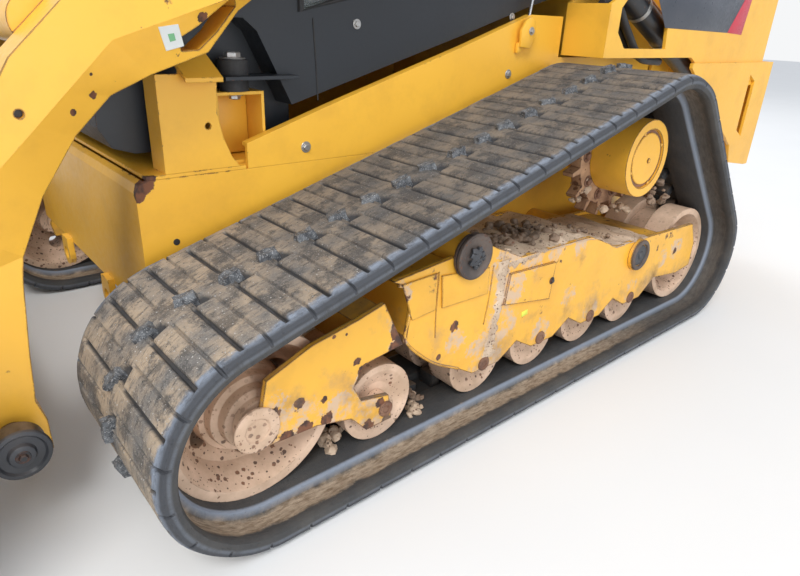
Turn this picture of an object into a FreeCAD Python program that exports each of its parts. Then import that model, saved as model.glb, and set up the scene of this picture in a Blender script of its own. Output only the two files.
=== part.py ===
# Compact track loader: a tub chassis between two rubber tracks, a hollow cab, two lift arms and a bucket.
# It stands on Z = 0, its front looks along -Y and its left side lies along +X. Lengths are millimetres.
# Places along the machine are given as distances behind the front idler's centre.
import FreeCAD, Part
import math
import os

import Sketcher

Vector = FreeCAD.Vector
Rotation = FreeCAD.Rotation
doc = FreeCAD.newDocument("compact_track_loader")

# Driving sizes
SIZES = {
    "front_idler_y": -700,
    "plate": 12,
    "seat_gap": 0.3,
    "pin_gap": 0.05,
    "track_wide": 450,
    "track_belt": 35,
    "track_rail": 18.7,
    "rail_half": 150,
    "rail_gap": 76,
    "pitch_line": 17,
    "tread_pitch": 88.75,
    "tread_groove": 15,
    "tread_deep": 14,
    "guide_wide": 56,
    "guide_long": 30,
    "guide_high": 40,
    "front_circle": 232,
    "rear_circle": 218,
    "drive_circle": 243,
    "rear_idler_back": 1659,
    "drive_back": 1269,
    "drive_high": 598,
    "wheel_wide": 78,
    "roller_high": 148,
    "roller_step": 231.7,
    "roller_first": 620,
    "front_roller_back": 298,
    "shaft_r": 26,
    "hub_r": 56,
    "frame_wide": 300,
    "front_axle_back": 522,
    "front_axle_high": 467,
    "rear_axle_back": 1290,
    "rear_axle_high": 305,
    "cover_plate_thick": 6,
    "axle_r": 45,
    "axle_cap_r": 50,
    "cover_r": 112,
    "cover_face_x": 875,
    "cover_recess_r": 86,
    "motor_r": 95,
    "sprocket_root_r": 158,
    "sprocket_tip_r": 194,
    "sprocket_wide": 34,
    "sprocket_teeth": 16,
    "chassis_half": 480,
    "track_gap": 35,
    "chassis_front": 50,
    "chassis_low": 240,
    "chassis_top": 615,
    "chassis_end": 2560,
    "deck_thick": 8,
    "eye_x": 190,
    "eye_r": 36,
    "tower_gap": 19,
    "pivot_back": 2350,
    "pivot_high": 1550,
    "pivot_r": 35,
    "arm_gap": 40,
    "arm_wide": 98,
    "arm_bevel": 28,
    "tip_front": 361,
    "tip_high": 202,
    "tip_pin_r": 25,
    "tip_cap_r": 45,
    "lift_base_back": 2060,
    "lift_base_high": 800,
    "lift_eye_back": 1100,
    "lift_eye_high": 1230,
    "lift_barrel_r": 42,
    "lift_rod_r": 25,
    "lift_pin_r": 22,
    "tilt_base_back": 0,
    "tilt_base_high": 1000,
    "tilt_eye_front": 480,
    "tilt_eye_high": 400,
    "tilt_inset": 36,
    "tilt_barrel_r": 28,
    "tilt_rod_r": 18,
    "tilt_pin_r": 16,
    "eye_wide": 40,
    "coupler_front": 580,
    "bucket_front": 1250,
    "bucket_half": 920,
    "bucket_low": 10,
    "bucket_top": 700,
    "edge_thick": 22,
    "edge_deep": 180,
    "cutter_thick": 8,
    "cab_inset": 35,
    "cab_front": 75,
    "cab_end": 1330,
    "cab_top": 2050,
    "cab_wall": 40,
    "foot_inset": 75,
    "foot_low": 650,
    "console_wide": 150,
    "roof_thick": 70,
    "hood_low": 1400,
    "hood_thick": 40,
    "bumper_end": 2650,
    "bumper_top": 838,
    "tow_x": 480,
    "tow_r": 21,
    "tow_high": 480,
    "door_thick": 34,
    "hinge_pin_r": 8,
    "hinge_knuckle_r": 14,
    "hinge_long": 50,
}

sheet = doc.addObject("Spreadsheet::Sheet", "Sizes")
for row, (alias, number) in enumerate(SIZES.items(), start=1):
    sheet.set(f"A{row}", alias)
    sheet.set(f"B{row}", str(number))
    sheet.setAlias(f"B{row}", alias)
doc.recompute()


class Dim:
    """A length worked out from the sheet's sizes: its value, and the formula that binds it to them."""

    def __init__(self, value, formula):
        self.value = value
        self.formula = formula

    def __add__(self, other):
        other = dim(other)
        return Dim(self.value + other.value, f"({self.formula} + {other.formula})")

    def __sub__(self, other):
        other = dim(other)
        return Dim(self.value - other.value, f"({self.formula} - {other.formula})")

    def __rsub__(self, other):
        return dim(other) - self

    def __mul__(self, other):
        other = dim(other)
        return Dim(self.value * other.value, f"({self.formula} * {other.formula})")

    def __truediv__(self, other):
        other = dim(other)
        return Dim(self.value / other.value, f"({self.formula} / {other.formula})")

    def __neg__(self):
        return self * -1

    __radd__ = __add__
    __rmul__ = __mul__


def dim(number):
    return number if isinstance(number, Dim) else Dim(float(number), f"({float(number)})")


def size(alias):
    return Dim(float(sheet.get(alias)), f"Sizes.{alias}")


def back(distance):
    """The Y of a place that lies this far behind the front idler's centre."""
    return size("front_idler_y") + distance


def placed(outline):
    return [(back(y), z) for y, z in outline]


# Building blocks
def bind(item, name, length):
    """Set a property of an object, and tie it to the sheet."""
    item.setExpression(name, dim(length).formula)


def move(item, x, y, z):
    for axis, length in zip("xyz", (x, y, z)):
        bind(item, f"Placement.Base.{axis}", length)


def origin_part(body, role):
    return next(o for o in body.Origin.OriginFeatures if o.Role == role)


def outline_sketch(body, role, corners):
    """A closed polygon whose corners are held by their two distances from the origin."""
    sketch = body.newObject("Sketcher::SketchObject", body.Name + "_outline")
    sketch.AttachmentSupport = [(origin_part(body, role), "")]
    sketch.MapMode = "FlatFace"
    corners = [(dim(a), dim(b)) for a, b in corners]
    count = len(corners)
    for i, (a, b) in enumerate(corners):
        c, d = corners[(i + 1) % count]
        sketch.addGeometry(Part.LineSegment(Vector(a.value, b.value, 0), Vector(c.value, d.value, 0)))
    for i in range(count):
        sketch.addConstraint(Sketcher.Constraint("Coincident", i, 2, (i + 1) % count, 1))
    for i, corner in enumerate(corners):
        for kind, length in zip(("DistanceX", "DistanceY"), corner):
            number = sketch.addConstraint(Sketcher.Constraint(kind, -1, 1, i, 1, length.value))
            if "Sizes" in length.formula:
                sketch.setExpression(f"Constraints[{number}]", length.formula)
    return sketch


def slab(name, corners, x_from, x_to):
    """A plate or block whose side outline is given by (y, z) corners."""
    body = doc.addObject("PartDesign::Body", name)
    sketch = outline_sketch(body, "YZ_Plane", corners)
    pad = body.newObject("PartDesign::Pad", name + "_pad")
    pad.Profile = sketch
    bind(pad, "Length", dim(x_to) - x_from)
    bind(body, "Placement.Base.x", x_from)
    return body


def cross_slab(name, corners, y_from, y_to):
    """A plate or block whose front outline is given by (x, z) corners."""
    body = doc.addObject("PartDesign::Body", name)
    sketch = outline_sketch(body, "XZ_Plane", corners)
    pad = body.newObject("PartDesign::Pad", name + "_pad")
    pad.Profile = sketch
    bind(pad, "Length", dim(y_to) - y_from)
    bind(body, "Placement.Base.y", y_to)
    return body


def turned(name, profile, x, y, z):
    """A wheel, ring or drum about an axle along X, with (x, radius) corners for its profile."""
    body = doc.addObject("PartDesign::Body", name)
    sketch = outline_sketch(body, "XZ_Plane", profile)
    spin = body.newObject("PartDesign::Revolution", name + "_spin")
    spin.Profile = sketch
    spin.ReferenceAxis = (sketch, ["H_Axis"])
    spin.Angle = 360
    move(body, x, y, z)
    return body


def around(body, feature, count):
    """Repeat a feature of a turned body round its axle."""
    pattern = body.newObject("PartDesign::PolarPattern", feature.Name + "_round")
    pattern.Originals = [feature]
    pattern.Axis = (origin_part(body, "X_Axis"), [""])
    pattern.Angle = 360
    bind(pattern, "Occurrences", count)
    body.Tip = pattern


def bar(name, radius, x_from, x_to, y, z):
    """A round bar along X."""
    item = doc.addObject("Part::Cylinder", name)
    item.Placement.Rotation = Rotation(Vector(0, 1, 0), 90)
    bind(item, "Radius", radius)
    bind(item, "Height", dim(x_to) - x_from)
    move(item, x_from, y, z)
    return item


def post(name, radius, x, y, z_from, z_to):
    """A round bar along Z."""
    item = doc.addObject("Part::Cylinder", name)
    bind(item, "Radius", radius)
    bind(item, "Height", dim(z_to) - z_from)
    move(item, x, y, z_from)
    return item


def box(name, x, y, z):
    """A block between two values of each axis."""
    item = doc.addObject("Part::Box", name)
    for label, (low, high) in zip(("Length", "Width", "Height"), (x, y, z)):
        bind(item, label, dim(high) - low)
    move(item, x[0], y[0], z[0])
    return item


def fuse(name, items):
    item = doc.addObject("Part::MultiFuse", name)
    item.Shapes = items
    item.Refine = True
    return item


def cut(name, base, tools):
    item = doc.addObject("Part::Cut", name)
    item.Base = base
    item.Tool = tools[0] if len(tools) == 1 else fuse(name + "_tools", tools)
    return item


def group(name, items):
    """Pieces of one kind that share a node without touching."""
    item = doc.addObject("Part::Compound", name)
    item.Links = items
    return item


def mirrored(name, item):
    other = doc.addObject("Part::Mirroring", name)
    other.Source = item
    other.Normal = Vector(1, 0, 0)
    return other


NODES = []


def node(item, label):
    item.Label = label
    NODES.append(item)


def both_sides(item, label):
    """The left piece and its mirror image on the right, as two nodes."""
    node(item, label + "_left")
    node(mirrored(item.Name + "_mirror", item), label + "_right")


def pair(items, label):
    """The left pieces and their mirror images on the right, in one node."""
    node(group(label, items + [mirrored(item.Name + "_mirror", item) for item in items]), label)


GAP = size("seat_gap")
PIN_GAP = size("pin_gap")
PLATE = size("plate")
SIDE = size("chassis_half")
TRACK_IN = SIDE + size("track_gap")
TRACK_OUT = TRACK_IN + size("track_wide")
TRACK_MID = TRACK_IN + size("track_wide") / 2
FRAME_OUT = TRACK_MID + size("frame_wide") / 2
FRAME_IN = TRACK_MID - size("frame_wide") / 2
BELT = size("track_belt")
RUN = BELT + size("track_rail")
FRONT_Z = size("front_circle")
REAR_Z = size("rear_circle")
REAR_IDLER_Y = back(size("rear_idler_back"))
DRIVE_Y = back(size("drive_back"))
DRIVE_Z = size("drive_high")

# Tracks
# The belt runs round three circles. Its pitch line, which keeps its length where the belt bends, is a
# row of arcs and straight runs, each kept with the circle it starts from and its length.


def belt_line():
    deep = size("pitch_line").value
    wheels = [
        (back(0).value, FRONT_Z.value, FRONT_Z.value),
        (DRIVE_Y.value, DRIVE_Z.value, size("drive_circle").value),
        (REAR_IDLER_Y.value, REAR_Z.value, REAR_Z.value),
    ]
    leans = []
    for i, (ya, za, ra) in enumerate(wheels):
        yb, zb, rb = wheels[(i + 1) % 3]
        heading = math.atan2(zb - za, yb - ya)
        leans.append(heading + math.acos((ra - rb) / math.hypot(yb - ya, zb - za)))
    line = []
    for i, (ya, za, ra) in enumerate(wheels):
        start = leans[i - 1]
        line.append(("arc", (ya, za, ra, start), (start - leans[i]) % (2 * math.pi) * (ra - deep)))
        yb, zb, rb = wheels[(i + 1) % 3]
        run = math.sqrt((yb - ya) ** 2 + (zb - za) ** 2 - (ra - rb) ** 2)
        line.append(("run", (ya, za, ra, leans[i]), run))
    return line


LINE = belt_line()
LOOP = sum(length for kind, circle, length in LINE)
PITCHES = round(LOOP / size("tread_pitch").value)
PITCH = LOOP / PITCHES


def on_piece(piece, along, inset):
    """The place at a distance along one piece of the line, this far inside the belt's outer face."""
    kind, (y, z, radius, lean), length = piece
    if kind == "arc":
        lean -= along / (radius - size("pitch_line").value)
        along = 0
    reach = radius - inset
    y += reach * math.cos(lean) + along * math.sin(lean)
    z += reach * math.sin(lean) - along * math.cos(lean)
    return Vector(0, y, z)


def on_line(distance, inset):
    """The place at a distance along the whole line, this far inside the belt's outer face."""
    for piece in LINE:
        if distance <= piece[2]:
            return on_piece(piece, distance, inset)
        distance -= piece[2]
    return on_piece(LINE[0], distance, inset)


def closed(spots):
    return Part.makePolygon(spots + spots[:1])


def tread_loop():
    """The belt's outer loop: a flat land and a groove for each pitch."""
    deep = size("tread_deep").value
    half = size("tread_groove").value / 2
    spots = []
    for i in range(PITCHES):
        start = (i + 0.5) * PITCH - half
        end = start + 2 * half
        spots += [on_line(start, 0), on_line(start, deep), on_line(end, deep), on_line(end, 0)]
    return closed(spots)


FACET = 15


def faceted_loop(inset):
    """A loop inside the belt. Round the wheels its flat facets touch the true arc at their middles."""
    spots = []
    for kind, (y, z, radius, lean), length in LINE:
        if kind == "arc":
            sweep = length / (radius - size("pitch_line").value)
            half = sweep / math.ceil(math.degrees(sweep) / FACET) / 2
            reach = (radius - inset) / math.cos(half)
            for i in range(round(sweep / half / 2)):
                turn = lean - half * (2 * i + 1)
                spots.append(Vector(0, y + reach * math.cos(turn), z + reach * math.sin(turn)))
    return closed(spots)


def band(outer, inner, x_from, x_to):
    """The belt between two closed loops, over one strip of its width."""
    face = Part.makeFace([outer, inner], "Part::FaceMakerBullseye")
    face.translate(Vector(TRACK_MID.value + x_from, 0, 0))
    return face.extrude(Vector(x_to - x_from, 0, 0))


def guide_lug(number):
    """One guide lug: a block that starts inside the belt, half way between two pitches."""
    half = size("guide_long").value / 2
    root = BELT.value - 5
    tip = BELT.value + size("guide_high").value
    middle = (number + 0.5) * PITCH
    sides = ((-1, root), (-1, tip), (1, tip), (1, root))
    corners = [on_line(middle + side * half, inset) for side, inset in sides]
    wide = size("guide_wide").value
    face = Part.Face(closed(corners))
    face.translate(Vector(TRACK_MID.value - wide / 2, 0, 0))
    return face.extrude(Vector(wide, 0, 0))


def track_shape():
    half = size("track_wide").value / 2
    rail_in = size("rail_gap").value / 2
    rail_out = size("rail_half").value
    strips = [band(tread_loop(), faceted_loop(BELT.value), -rail_in, rail_in)]
    for low, high, inset in ((rail_in, rail_out, RUN.value), (rail_out, half, BELT.value)):
        strips.append(band(tread_loop(), faceted_loop(inset), low, high))
        strips.append(band(tread_loop(), faceted_loop(inset), -high, -low))
    lugs = [guide_lug(i) for i in range(PITCHES)]
    return strips[0].fuse(strips[1:] + lugs).removeSplitter()


track = doc.addObject("Part::Feature", "track")
track.Shape = track_shape()
both_sides(track, "track")

# Wheels
HALF_GAP = size("rail_gap") / 2
RIM = HALF_GAP + size("wheel_wide")
BORE = size("shaft_r") + GAP
HUB = size("hub_r")
LUG_TIP = BELT + size("guide_high")


def wheel_body(name, half, y, z):
    """A wheel with the same (x, radius) profile on both sides of the track's middle."""
    return turned(name, half + [(-x, radius) for x, radius in reversed(half)], TRACK_MID, y, z)


def idler(name, circle, y, z):
    """Two rims on a dished web with round holes. The guide lugs run free between the rims."""
    outer = circle - RUN - GAP
    drum = circle - LUG_TIP - 14
    body = wheel_body(
        name,
        [(HALF_GAP, drum), (HALF_GAP, outer), (RIM, outer), (RIM, outer - 20), (HALF_GAP + 14, drum - 16),
         (14, HUB + 8), (RIM - 30, HUB - 6), (RIM - 14, HUB - 10), (RIM - 14, BORE)],
        y, z)
    sketch = body.newObject("Sketcher::SketchObject", name + "_ring_of_holes")
    sketch.AttachmentSupport = [(origin_part(body, "YZ_Plane"), "")]
    sketch.MapMode = "FlatFace"
    middle = (HUB + drum) / 2
    sketch.addGeometry(Part.Circle(Vector(0, middle.value, 0), Vector(0, 0, 1), 20))
    sketch.addConstraint(Sketcher.Constraint("PointOnObject", 0, 3, -2))
    number = sketch.addConstraint(Sketcher.Constraint("DistanceY", -1, 1, 0, 3, middle.value))
    sketch.setExpression(f"Constraints[{number}]", middle.formula)
    sketch.addConstraint(Sketcher.Constraint("Radius", 0, 20))
    hole = body.newObject("PartDesign::Pocket", name + "_hole")
    hole.Profile = sketch
    hole.Type = "ThroughAll"
    hole.Midplane = True
    around(body, hole, 6)
    return body


def roller(name, y):
    """Two small rims on one tube."""
    high = size("roller_high")
    outer = high - RUN - GAP
    tube = high - LUG_TIP - 24
    return wheel_body(name, [(HALF_GAP, tube), (HALF_GAP, outer), (RIM, outer), (RIM, outer - 16),
                             (RIM - 14, tube - 4), (RIM - 14, BORE)], y, high)


pair([idler("front_idler", FRONT_Z, back(0), FRONT_Z), idler("rear_idler", REAR_Z, REAR_IDLER_Y, REAR_Z)],
     "idlers")
ROLLER_Z = size("roller_high")
FRAME_ROLLERS = [size("roller_first") + size("roller_step") * i for i in range(4)]
roller_places = [size("front_roller_back")] + FRAME_ROLLERS
pair([roller(f"roller_{i}", back(y)) for i, y in enumerate(roller_places)], "rollers")

# Track frame and idler yoke
REAR = size("rear_idler_back")
frame_under = [(302, 453), (361, 423), (343, 299), (428, 220), (520, 170)]
for i, y in enumerate(FRAME_ROLLERS):
    frame_under += [(y - 48, 139), (y + 48, 139)]
    if i < 3:
        frame_under.append((y + size("roller_step") / 2, 178))
frame_over = [(REAR - 219, 190), (REAR - 62, 170), (REAR + 31, 180), (REAR + 31, 262), (REAR - 14, 340),
              (1342, 350), (1162, 356), (1018, 413), (713, 420), (600, 470), (470, 470)]
yoke_side = [(-15, 188), (-24, 235), (-4, 277), (7, 330), (105, 371), (213, 393), (281, 411), (335, 300),
             (228, 285), (205, 240), (225, 200), (300, 185), (310, 120), (240, 118), (199, 164), (113, 185)]


def side_plates(name, outline):
    """One outline as two plates, on the outer and the inner side of the frame."""
    return [slab(name + "_outer", placed(outline), FRAME_OUT - PLATE, FRAME_OUT),
            slab(name + "_inner", placed(outline), FRAME_IN, FRAME_IN + PLATE)]


def shaft(name, y, z):
    return bar(name, size("shaft_r"), FRAME_IN + PLATE + GAP, FRAME_OUT - PLATE - GAP, y, z)


frame_box = slab(
    "frame_box",
    placed([(360, 300), (430, 262), (1480, 262), (1480, 330), (1342, 338), (1150, 345), (1010, 400),
            (713, 405), (600, 455), (470, 455), (361, 415)]),
    FRAME_IN + PLATE, FRAME_OUT - PLATE)
AXLES = {"front_axle": (back(size("front_axle_back")), size("front_axle_high")),
         "rear_axle": (back(size("rear_axle_back")), size("rear_axle_high"))}
axle_holes = [bar(name + "_hole", size("axle_r") + GAP, FRAME_IN - PLATE, FRAME_OUT + PLATE, y, z)
              for name, (y, z) in AXLES.items()]
cover_plate = slab("cover_plate", placed([(662, 304), (673, 385), (857, 376), (848, 272)]),
                   FRAME_OUT, FRAME_OUT + size("cover_plate_thick"))
frame_plates = side_plates("frame_plate", frame_under + frame_over)
frame_body = fuse("frame_body", frame_plates + [frame_box, cover_plate])
both_sides(cut("track_frame", frame_body, axle_holes), "track_frame")
shafts = [shaft(f"roller_shaft_{i}", back(y), ROLLER_Z) for i, y in enumerate(roller_places)]
shafts += [shaft("front_idler_shaft", back(0), FRONT_Z), shaft("rear_idler_shaft", REAR_IDLER_Y, REAR_Z)]
pair(shafts, "wheel_shafts")
yoke_link = slab("yoke_link", placed([(225, 300), (325, 300), (281, 400), (213, 385)]),
                 FRAME_IN + PLATE, FRAME_OUT - PLATE)
pair([fuse("idler_yoke", side_plates("yoke_plate", yoke_side) + [yoke_link])], "idler_yokes")

# Drive and suspension
HALF_RING = size("sprocket_wide") / 2
ROOT = size("sprocket_root_r")
MOTOR = size("motor_r")
ring = turned("sprocket_ring", [(-HALF_RING, MOTOR + GAP), (HALF_RING, MOTOR + GAP), (HALF_RING, ROOT),
                                (-HALF_RING, ROOT)], TRACK_MID, DRIVE_Y, DRIVE_Z)
tooth_side = outline_sketch(ring, "YZ_Plane", [(-10, ROOT - 6), (10, ROOT - 6), (6, size("sprocket_tip_r")),
                                               (-6, size("sprocket_tip_r"))])
tooth = ring.newObject("PartDesign::Pad", "tooth")
tooth.Profile = tooth_side
tooth.Midplane = True
bind(tooth, "Length", size("sprocket_wide"))
around(ring, tooth, size("sprocket_teeth"))


def tooth_turn():
    """The turn that puts the teeth half way between the guide lugs, where the belt meets the drive."""
    before = LINE[0][2] + LINE[1][2]
    y, z, radius, lean = LINE[2][1]
    middle = before + LINE[2][2] / 2
    lug = (round(middle / PITCH - 0.5) + 0.5) * PITCH
    lug_lean = lean - (lug - before) / (radius - size("pitch_line").value)
    return math.degrees(lug_lean) - 90 + 180 / size("sprocket_teeth").value


ring.Placement.Rotation = Rotation(Vector(1, 0, 0), tooth_turn())
pair([ring], "sprockets")
FACE = size("cover_face_x")
COVER_R = size("cover_r")
RECESS = size("cover_recess_r")
cover_x = TRACK_MID + HALF_RING + GAP
pair([turned(
    "final_drive",
    [(SIDE + GAP, 0), (SIDE + GAP, 70), (TRACK_MID - HALF_RING, 70), (TRACK_MID - HALF_RING, MOTOR),
     (cover_x, MOTOR),
     (cover_x, COVER_R), (FACE, COVER_R), (FACE, RECESS), (FACE - 8, RECESS), (FACE - 8, 0)],
    0, DRIVE_Y, DRIVE_Z)], "final_drives")


def axle(name, y, z):
    """A suspension axle from the tub's side out to its round end cap."""
    stem = bar(name + "_stem", size("axle_r"), SIDE + GAP, FRAME_OUT + GAP, y, z)
    cap = bar(name + "_cap", size("axle_cap_r"), FRAME_OUT + GAP, FRAME_OUT + PLATE, y, z)
    return fuse(name, [stem, cap])


pair([axle(name, y, z) for name, (y, z) in AXLES.items()], "torsion_axles")

# Widths that the arms, towers and cylinders share
ARM_IN = SIDE + size("arm_gap")
ARM_OUT = ARM_IN + size("arm_wide")
CYLINDER_X = {"lift": (ARM_IN + ARM_OUT) / 2, "tilt": ARM_IN - size("tilt_inset")}

# Chassis
FRONT = -size("chassis_front")
END = size("chassis_end")
TOP = size("chassis_top")
LOW = size("chassis_low")
DECK = TOP + GAP + size("deck_thick")
SEAT_Z = DECK + GAP
tub_outline = [(FRONT, 300), (FRONT, TOP - 25), (FRONT + 8, TOP - 8), (FRONT + 25, TOP), (END, TOP),
               (END, 400), (1900, 290), (1800, LOW), (80, LOW)]
tub_hollow = [(FRONT + PLATE, 308), (FRONT + PLATE, TOP - 20), (FRONT + 25, TOP + 5), (END - PLATE, TOP + 5),
              (END - PLATE, 412), (1895, 302), (1795, LOW + PLATE), (85, LOW + PLATE)]
EYE_X = size("eye_x")
EYE_R = size("eye_r")
EYE_Z = 262
round_side = [(EYE_X + EYE_R * math.cos(math.radians(a)), EYE_Z + EYE_R * math.sin(math.radians(a)))
              for a in range(180, 361, 20)]
eye_plate = cross_slab("eye_plate", round_side + [(EYE_X + 28, 312), (EYE_X - 28, 312)], back(FRONT - 16),
                       back(FRONT))
eye_hole = doc.addObject("Part::Cylinder", "eye_hole")
bind(eye_hole, "Radius", EYE_R / 2)
bind(eye_hole, "Height", 40)
eye_hole.Placement.Rotation = Rotation(Vector(1, 0, 0), 90)
move(eye_hole, EYE_X, back(FRONT + 10), EYE_Z)
eye = cut("tie_eye", eye_plate, [eye_hole])
tub = cut("tub_shell", slab("tub", placed(tub_outline), -SIDE, SIDE),
          [slab("tub_hollow", placed(tub_hollow), -SIDE + PLATE, SIDE - PLATE)])
node(fuse("lower_chassis", [tub, eye, mirrored("tie_eye_mirror", eye)]), "lower_chassis")
INNER = SIDE - PLATE - GAP
node(fuse("front_deck", [
    box("deck_front", (-SIDE, SIDE), (back(FRONT + 25), back(200)), (TOP + GAP, DECK)),
    box("deck_rear", (-INNER, INNER), (back(200), back(290)), (TOP + GAP, DECK))]), "front_deck")

SKIRT_FOLD = 8
skirt_top = [(205, 672), (430, 744), (890, 883), (1160, 970), (1318, 970)]
skirt_side = [(205, TOP + GAP)] + skirt_top + [(1318, 850), (1900, 850), (1900, TOP + GAP)]
skirt_room = [(195, TOP - 5)] + [(y, z - SKIRT_FOLD) for y, z in skirt_top] + [(1330, 962), (1330, TOP - 5)]
skirt_low = [(1318, TOP - 5), (1318, 855), (1910, 855), (1910, TOP - 5)]
pair([cut("side_skirt", slab("skirt_block", placed(skirt_side), SIDE - 25, SIDE), [
    slab("skirt_room", placed(skirt_room), SIDE - 30, SIDE - PLATE),
    slab("skirt_low", placed(skirt_low), SIDE - 30, SIDE - PLATE)])], "side_skirts")

REST_FOLD = 8
rest_side = [(16, SEAT_Z), (185, SEAT_Z), (168, 645), (150, 690), (140, 740), (145, 822), (16, 822)]
rest_room = [(16 + REST_FOLD, SEAT_Z - 10), (200, SEAT_Z - 10), (200, 835), (16 + REST_FOLD, 835)]
rest_post = cut("rest_post", slab("rest_block", placed(rest_side), SIDE - 70, SIDE),
                [slab("rest_room", placed(rest_room), SIDE - 80, SIDE - REST_FOLD)])
rest_roof = cross_slab("rest_roof", [(SIDE - 45, 850), (SIDE - 45, 859), (SIDE + 33, 817), (SIDE + 33, 808)],
                       back(64), back(144))
rest_web = slab("rest_web", placed([(64, 812), (144, 812), (144, 834), (64, 834)]), SIDE - REST_FOLD, SIDE)
rest_hole = bar("rest_hole", 7, SIDE - 20, SIDE + 10, back(118), 716)
pair([cut("arm_rest", fuse("rest_whole", [rest_post, rest_roof, rest_web]), [rest_hole])], "arm_rests")

CAB = SIDE - size("cab_inset")
FOOT = CAB - size("foot_inset")
MOUNT_WALL = 7
MOUNT_TOP = 780
mount_side = [(150, SEAT_Z), (268, SEAT_Z), (268, MOUNT_TOP), (150, MOUNT_TOP)]
mount_room = [(150 + MOUNT_WALL, SEAT_Z + MOUNT_WALL), (268 - MOUNT_WALL, SEAT_Z + MOUNT_WALL),
              (268 - MOUNT_WALL, MOUNT_TOP - MOUNT_WALL), (150 + MOUNT_WALL, MOUNT_TOP - MOUNT_WALL)]
MOUNT_OUT = SIDE - 28
pair([cut("cab_mount", slab("mount_tube", placed(mount_side), FOOT + 5, MOUNT_OUT),
          [slab("mount_room", placed(mount_room), FOOT, SIDE)])], "cab_mounts")
MOUNT_X = SIDE - 52
MOUNT_Y = back(208)
BRACKET = 806
low_pad = post("low_pad", 32, MOUNT_X, MOUNT_Y, MOUNT_TOP + GAP, BRACKET - GAP)
high_pad = post("high_pad", 34, MOUNT_X, MOUNT_Y, BRACKET + 8 + GAP, 846)
pair([low_pad, high_pad], "mount_pads")

# Rear towers
OUT = ARM_OUT + size("tower_gap")
PB = size("pivot_back")
PZ = size("pivot_high")
PIVOT = (back(PB), PZ)
LIFT_BASE = (back(size("lift_base_back")), size("lift_base_high"))
tower_top = [(END, 1100), (PB + 100, PZ + 10), (PB + 50, PZ + 90), (PB - 50, PZ + 90), (PB - 110, PZ + 10),
             (2080, 1150), (1500, 1090), (1330, 1010), (1330, 857), (1905, 857)]
opening = [(1390, 930), (1440, 885), (1700, 885), (1680, 1010), (1640, 1050), (1440, 1050), (1390, 1000)]
tower_outer = cut("tower_outer",
                  slab("tower_plate", placed([(2120, 745), (END, 745)] + tower_top), OUT - PLATE, OUT),
                  [slab("tower_opening", placed(opening), OUT - PLATE - 10, OUT + 10)])
tower_inner = slab("tower_inner", placed([(1905, 560), (END, 560)] + tower_top), SIDE + GAP,
                   SIDE + GAP + PLATE)
tower_back = box("tower_back", (SIDE + GAP, OUT), (back(END - PLATE), back(END)), (745, 1100))
tower_front = box("tower_front", (SIDE + GAP, OUT), (back(1330), back(1330 + PLATE)), (857, 1010))
tower_pins = [bar("pivot_pin", size("pivot_r"), SIDE + GAP, OUT + 8, *PIVOT),
              bar("lift_base_pin", size("lift_pin_r"), SIDE + GAP, OUT, *LIFT_BASE)]
both_sides(fuse("rear_tower", [tower_outer, tower_inner, tower_back, tower_front] + tower_pins), "rear_tower")

# Bumper and engine
BUMP_END = size("bumper_end")
BUMP_TOP = size("bumper_top")
BUMP_IN = OUT + GAP
bumper_side = [(1905, BUMP_TOP), (1905, BUMP_TOP - 18), (2330, 546), (2400, 500), (2440, 420),
               (BUMP_END - 40, 394), (BUMP_END, 394), (BUMP_END, BUMP_TOP)]
bumper_slot = slab("bumper_slot", placed([(2440, 560), (2500, 530), (2500, 760), (2440, 790)]), BUMP_IN - 10,
                   OUT + 30)
bumper_left = cut("bumper_left", slab("bumper_plate", placed(bumper_side), BUMP_IN, BUMP_IN + PLATE),
                  [bumper_slot])
bumper_back = box("bumper_back", (-BUMP_IN, BUMP_IN), (back(BUMP_END - PLATE), back(BUMP_END)),
                  (394, BUMP_TOP))
tow_holes = []
for i, x in enumerate((-size("tow_x"), size("tow_x"))):
    hole = doc.addObject("Part::Cylinder", f"tow_hole_{i}")
    hole.Placement.Rotation = Rotation(Vector(1, 0, 0), 90)
    bind(hole, "Radius", size("tow_r"))
    bind(hole, "Height", PLATE * 3)
    move(hole, x, back(BUMP_END + PLATE), size("tow_high"))
    tow_holes.append(hole)
bumper = fuse("bumper_whole", [bumper_left, mirrored("bumper_right", bumper_left), bumper_back])
node(cut("rear_bumper", bumper, tow_holes), "rear_bumper")
node(slab("engine", placed([(1960, 313.3), (2440, 394.2), (2440, 950), (1960, 950)]), -300, 300), "engine")

# Cab
WALL = size("cab_wall")
CAB_FRONT = -size("cab_front")
CAB_END = size("cab_end")
CAB_TOP = size("cab_top")
FOOT_LOW = size("foot_low")
FOOT_WALL = 20
cab_side = [(CAB_FRONT, 930), (230, 930), (262, 905), (345, 745), (900, 905), (1180, 990),
            (CAB_END + 70, 1050), (CAB_END, CAB_TOP), (CAB_FRONT, CAB_TOP)]
cab_floor = [(375, 800), (885, 945), (1165, 1030), (CAB_END + 28, 1085)]
cab_room = [(CAB_FRONT + WALL, 960), (275, 960)] + cab_floor + [
    (CAB_END - WALL, CAB_TOP + 5), (CAB_FRONT + WALL, CAB_TOP + 5)]
foot_side = [(CAB_FRONT, 960), (CAB_FRONT, FOOT_LOW + 60), (CAB_FRONT + 25, FOOT_LOW + 15),
             (CAB_FRONT + 70, FOOT_LOW), (380, FOOT_LOW), (380, 960)]
foot_room = [(CAB_FRONT + FOOT_WALL, 1000), (CAB_FRONT + FOOT_WALL, FOOT_LOW + 70),
             (CAB_FRONT + 80, FOOT_LOW + 20), (360, FOOT_LOW + 20), (385, 800), (420, 820), (420, 1000)]
WINDOW_TOP = CAB_TOP - 90
REAR_SILL = CAB_TOP - 570
side_glass = [(375, 950), (560, 1000), (1050, 1110), (1050, WINDOW_TOP), (375, WINDOW_TOP)]
GLASS_X = CAB - 85
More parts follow.
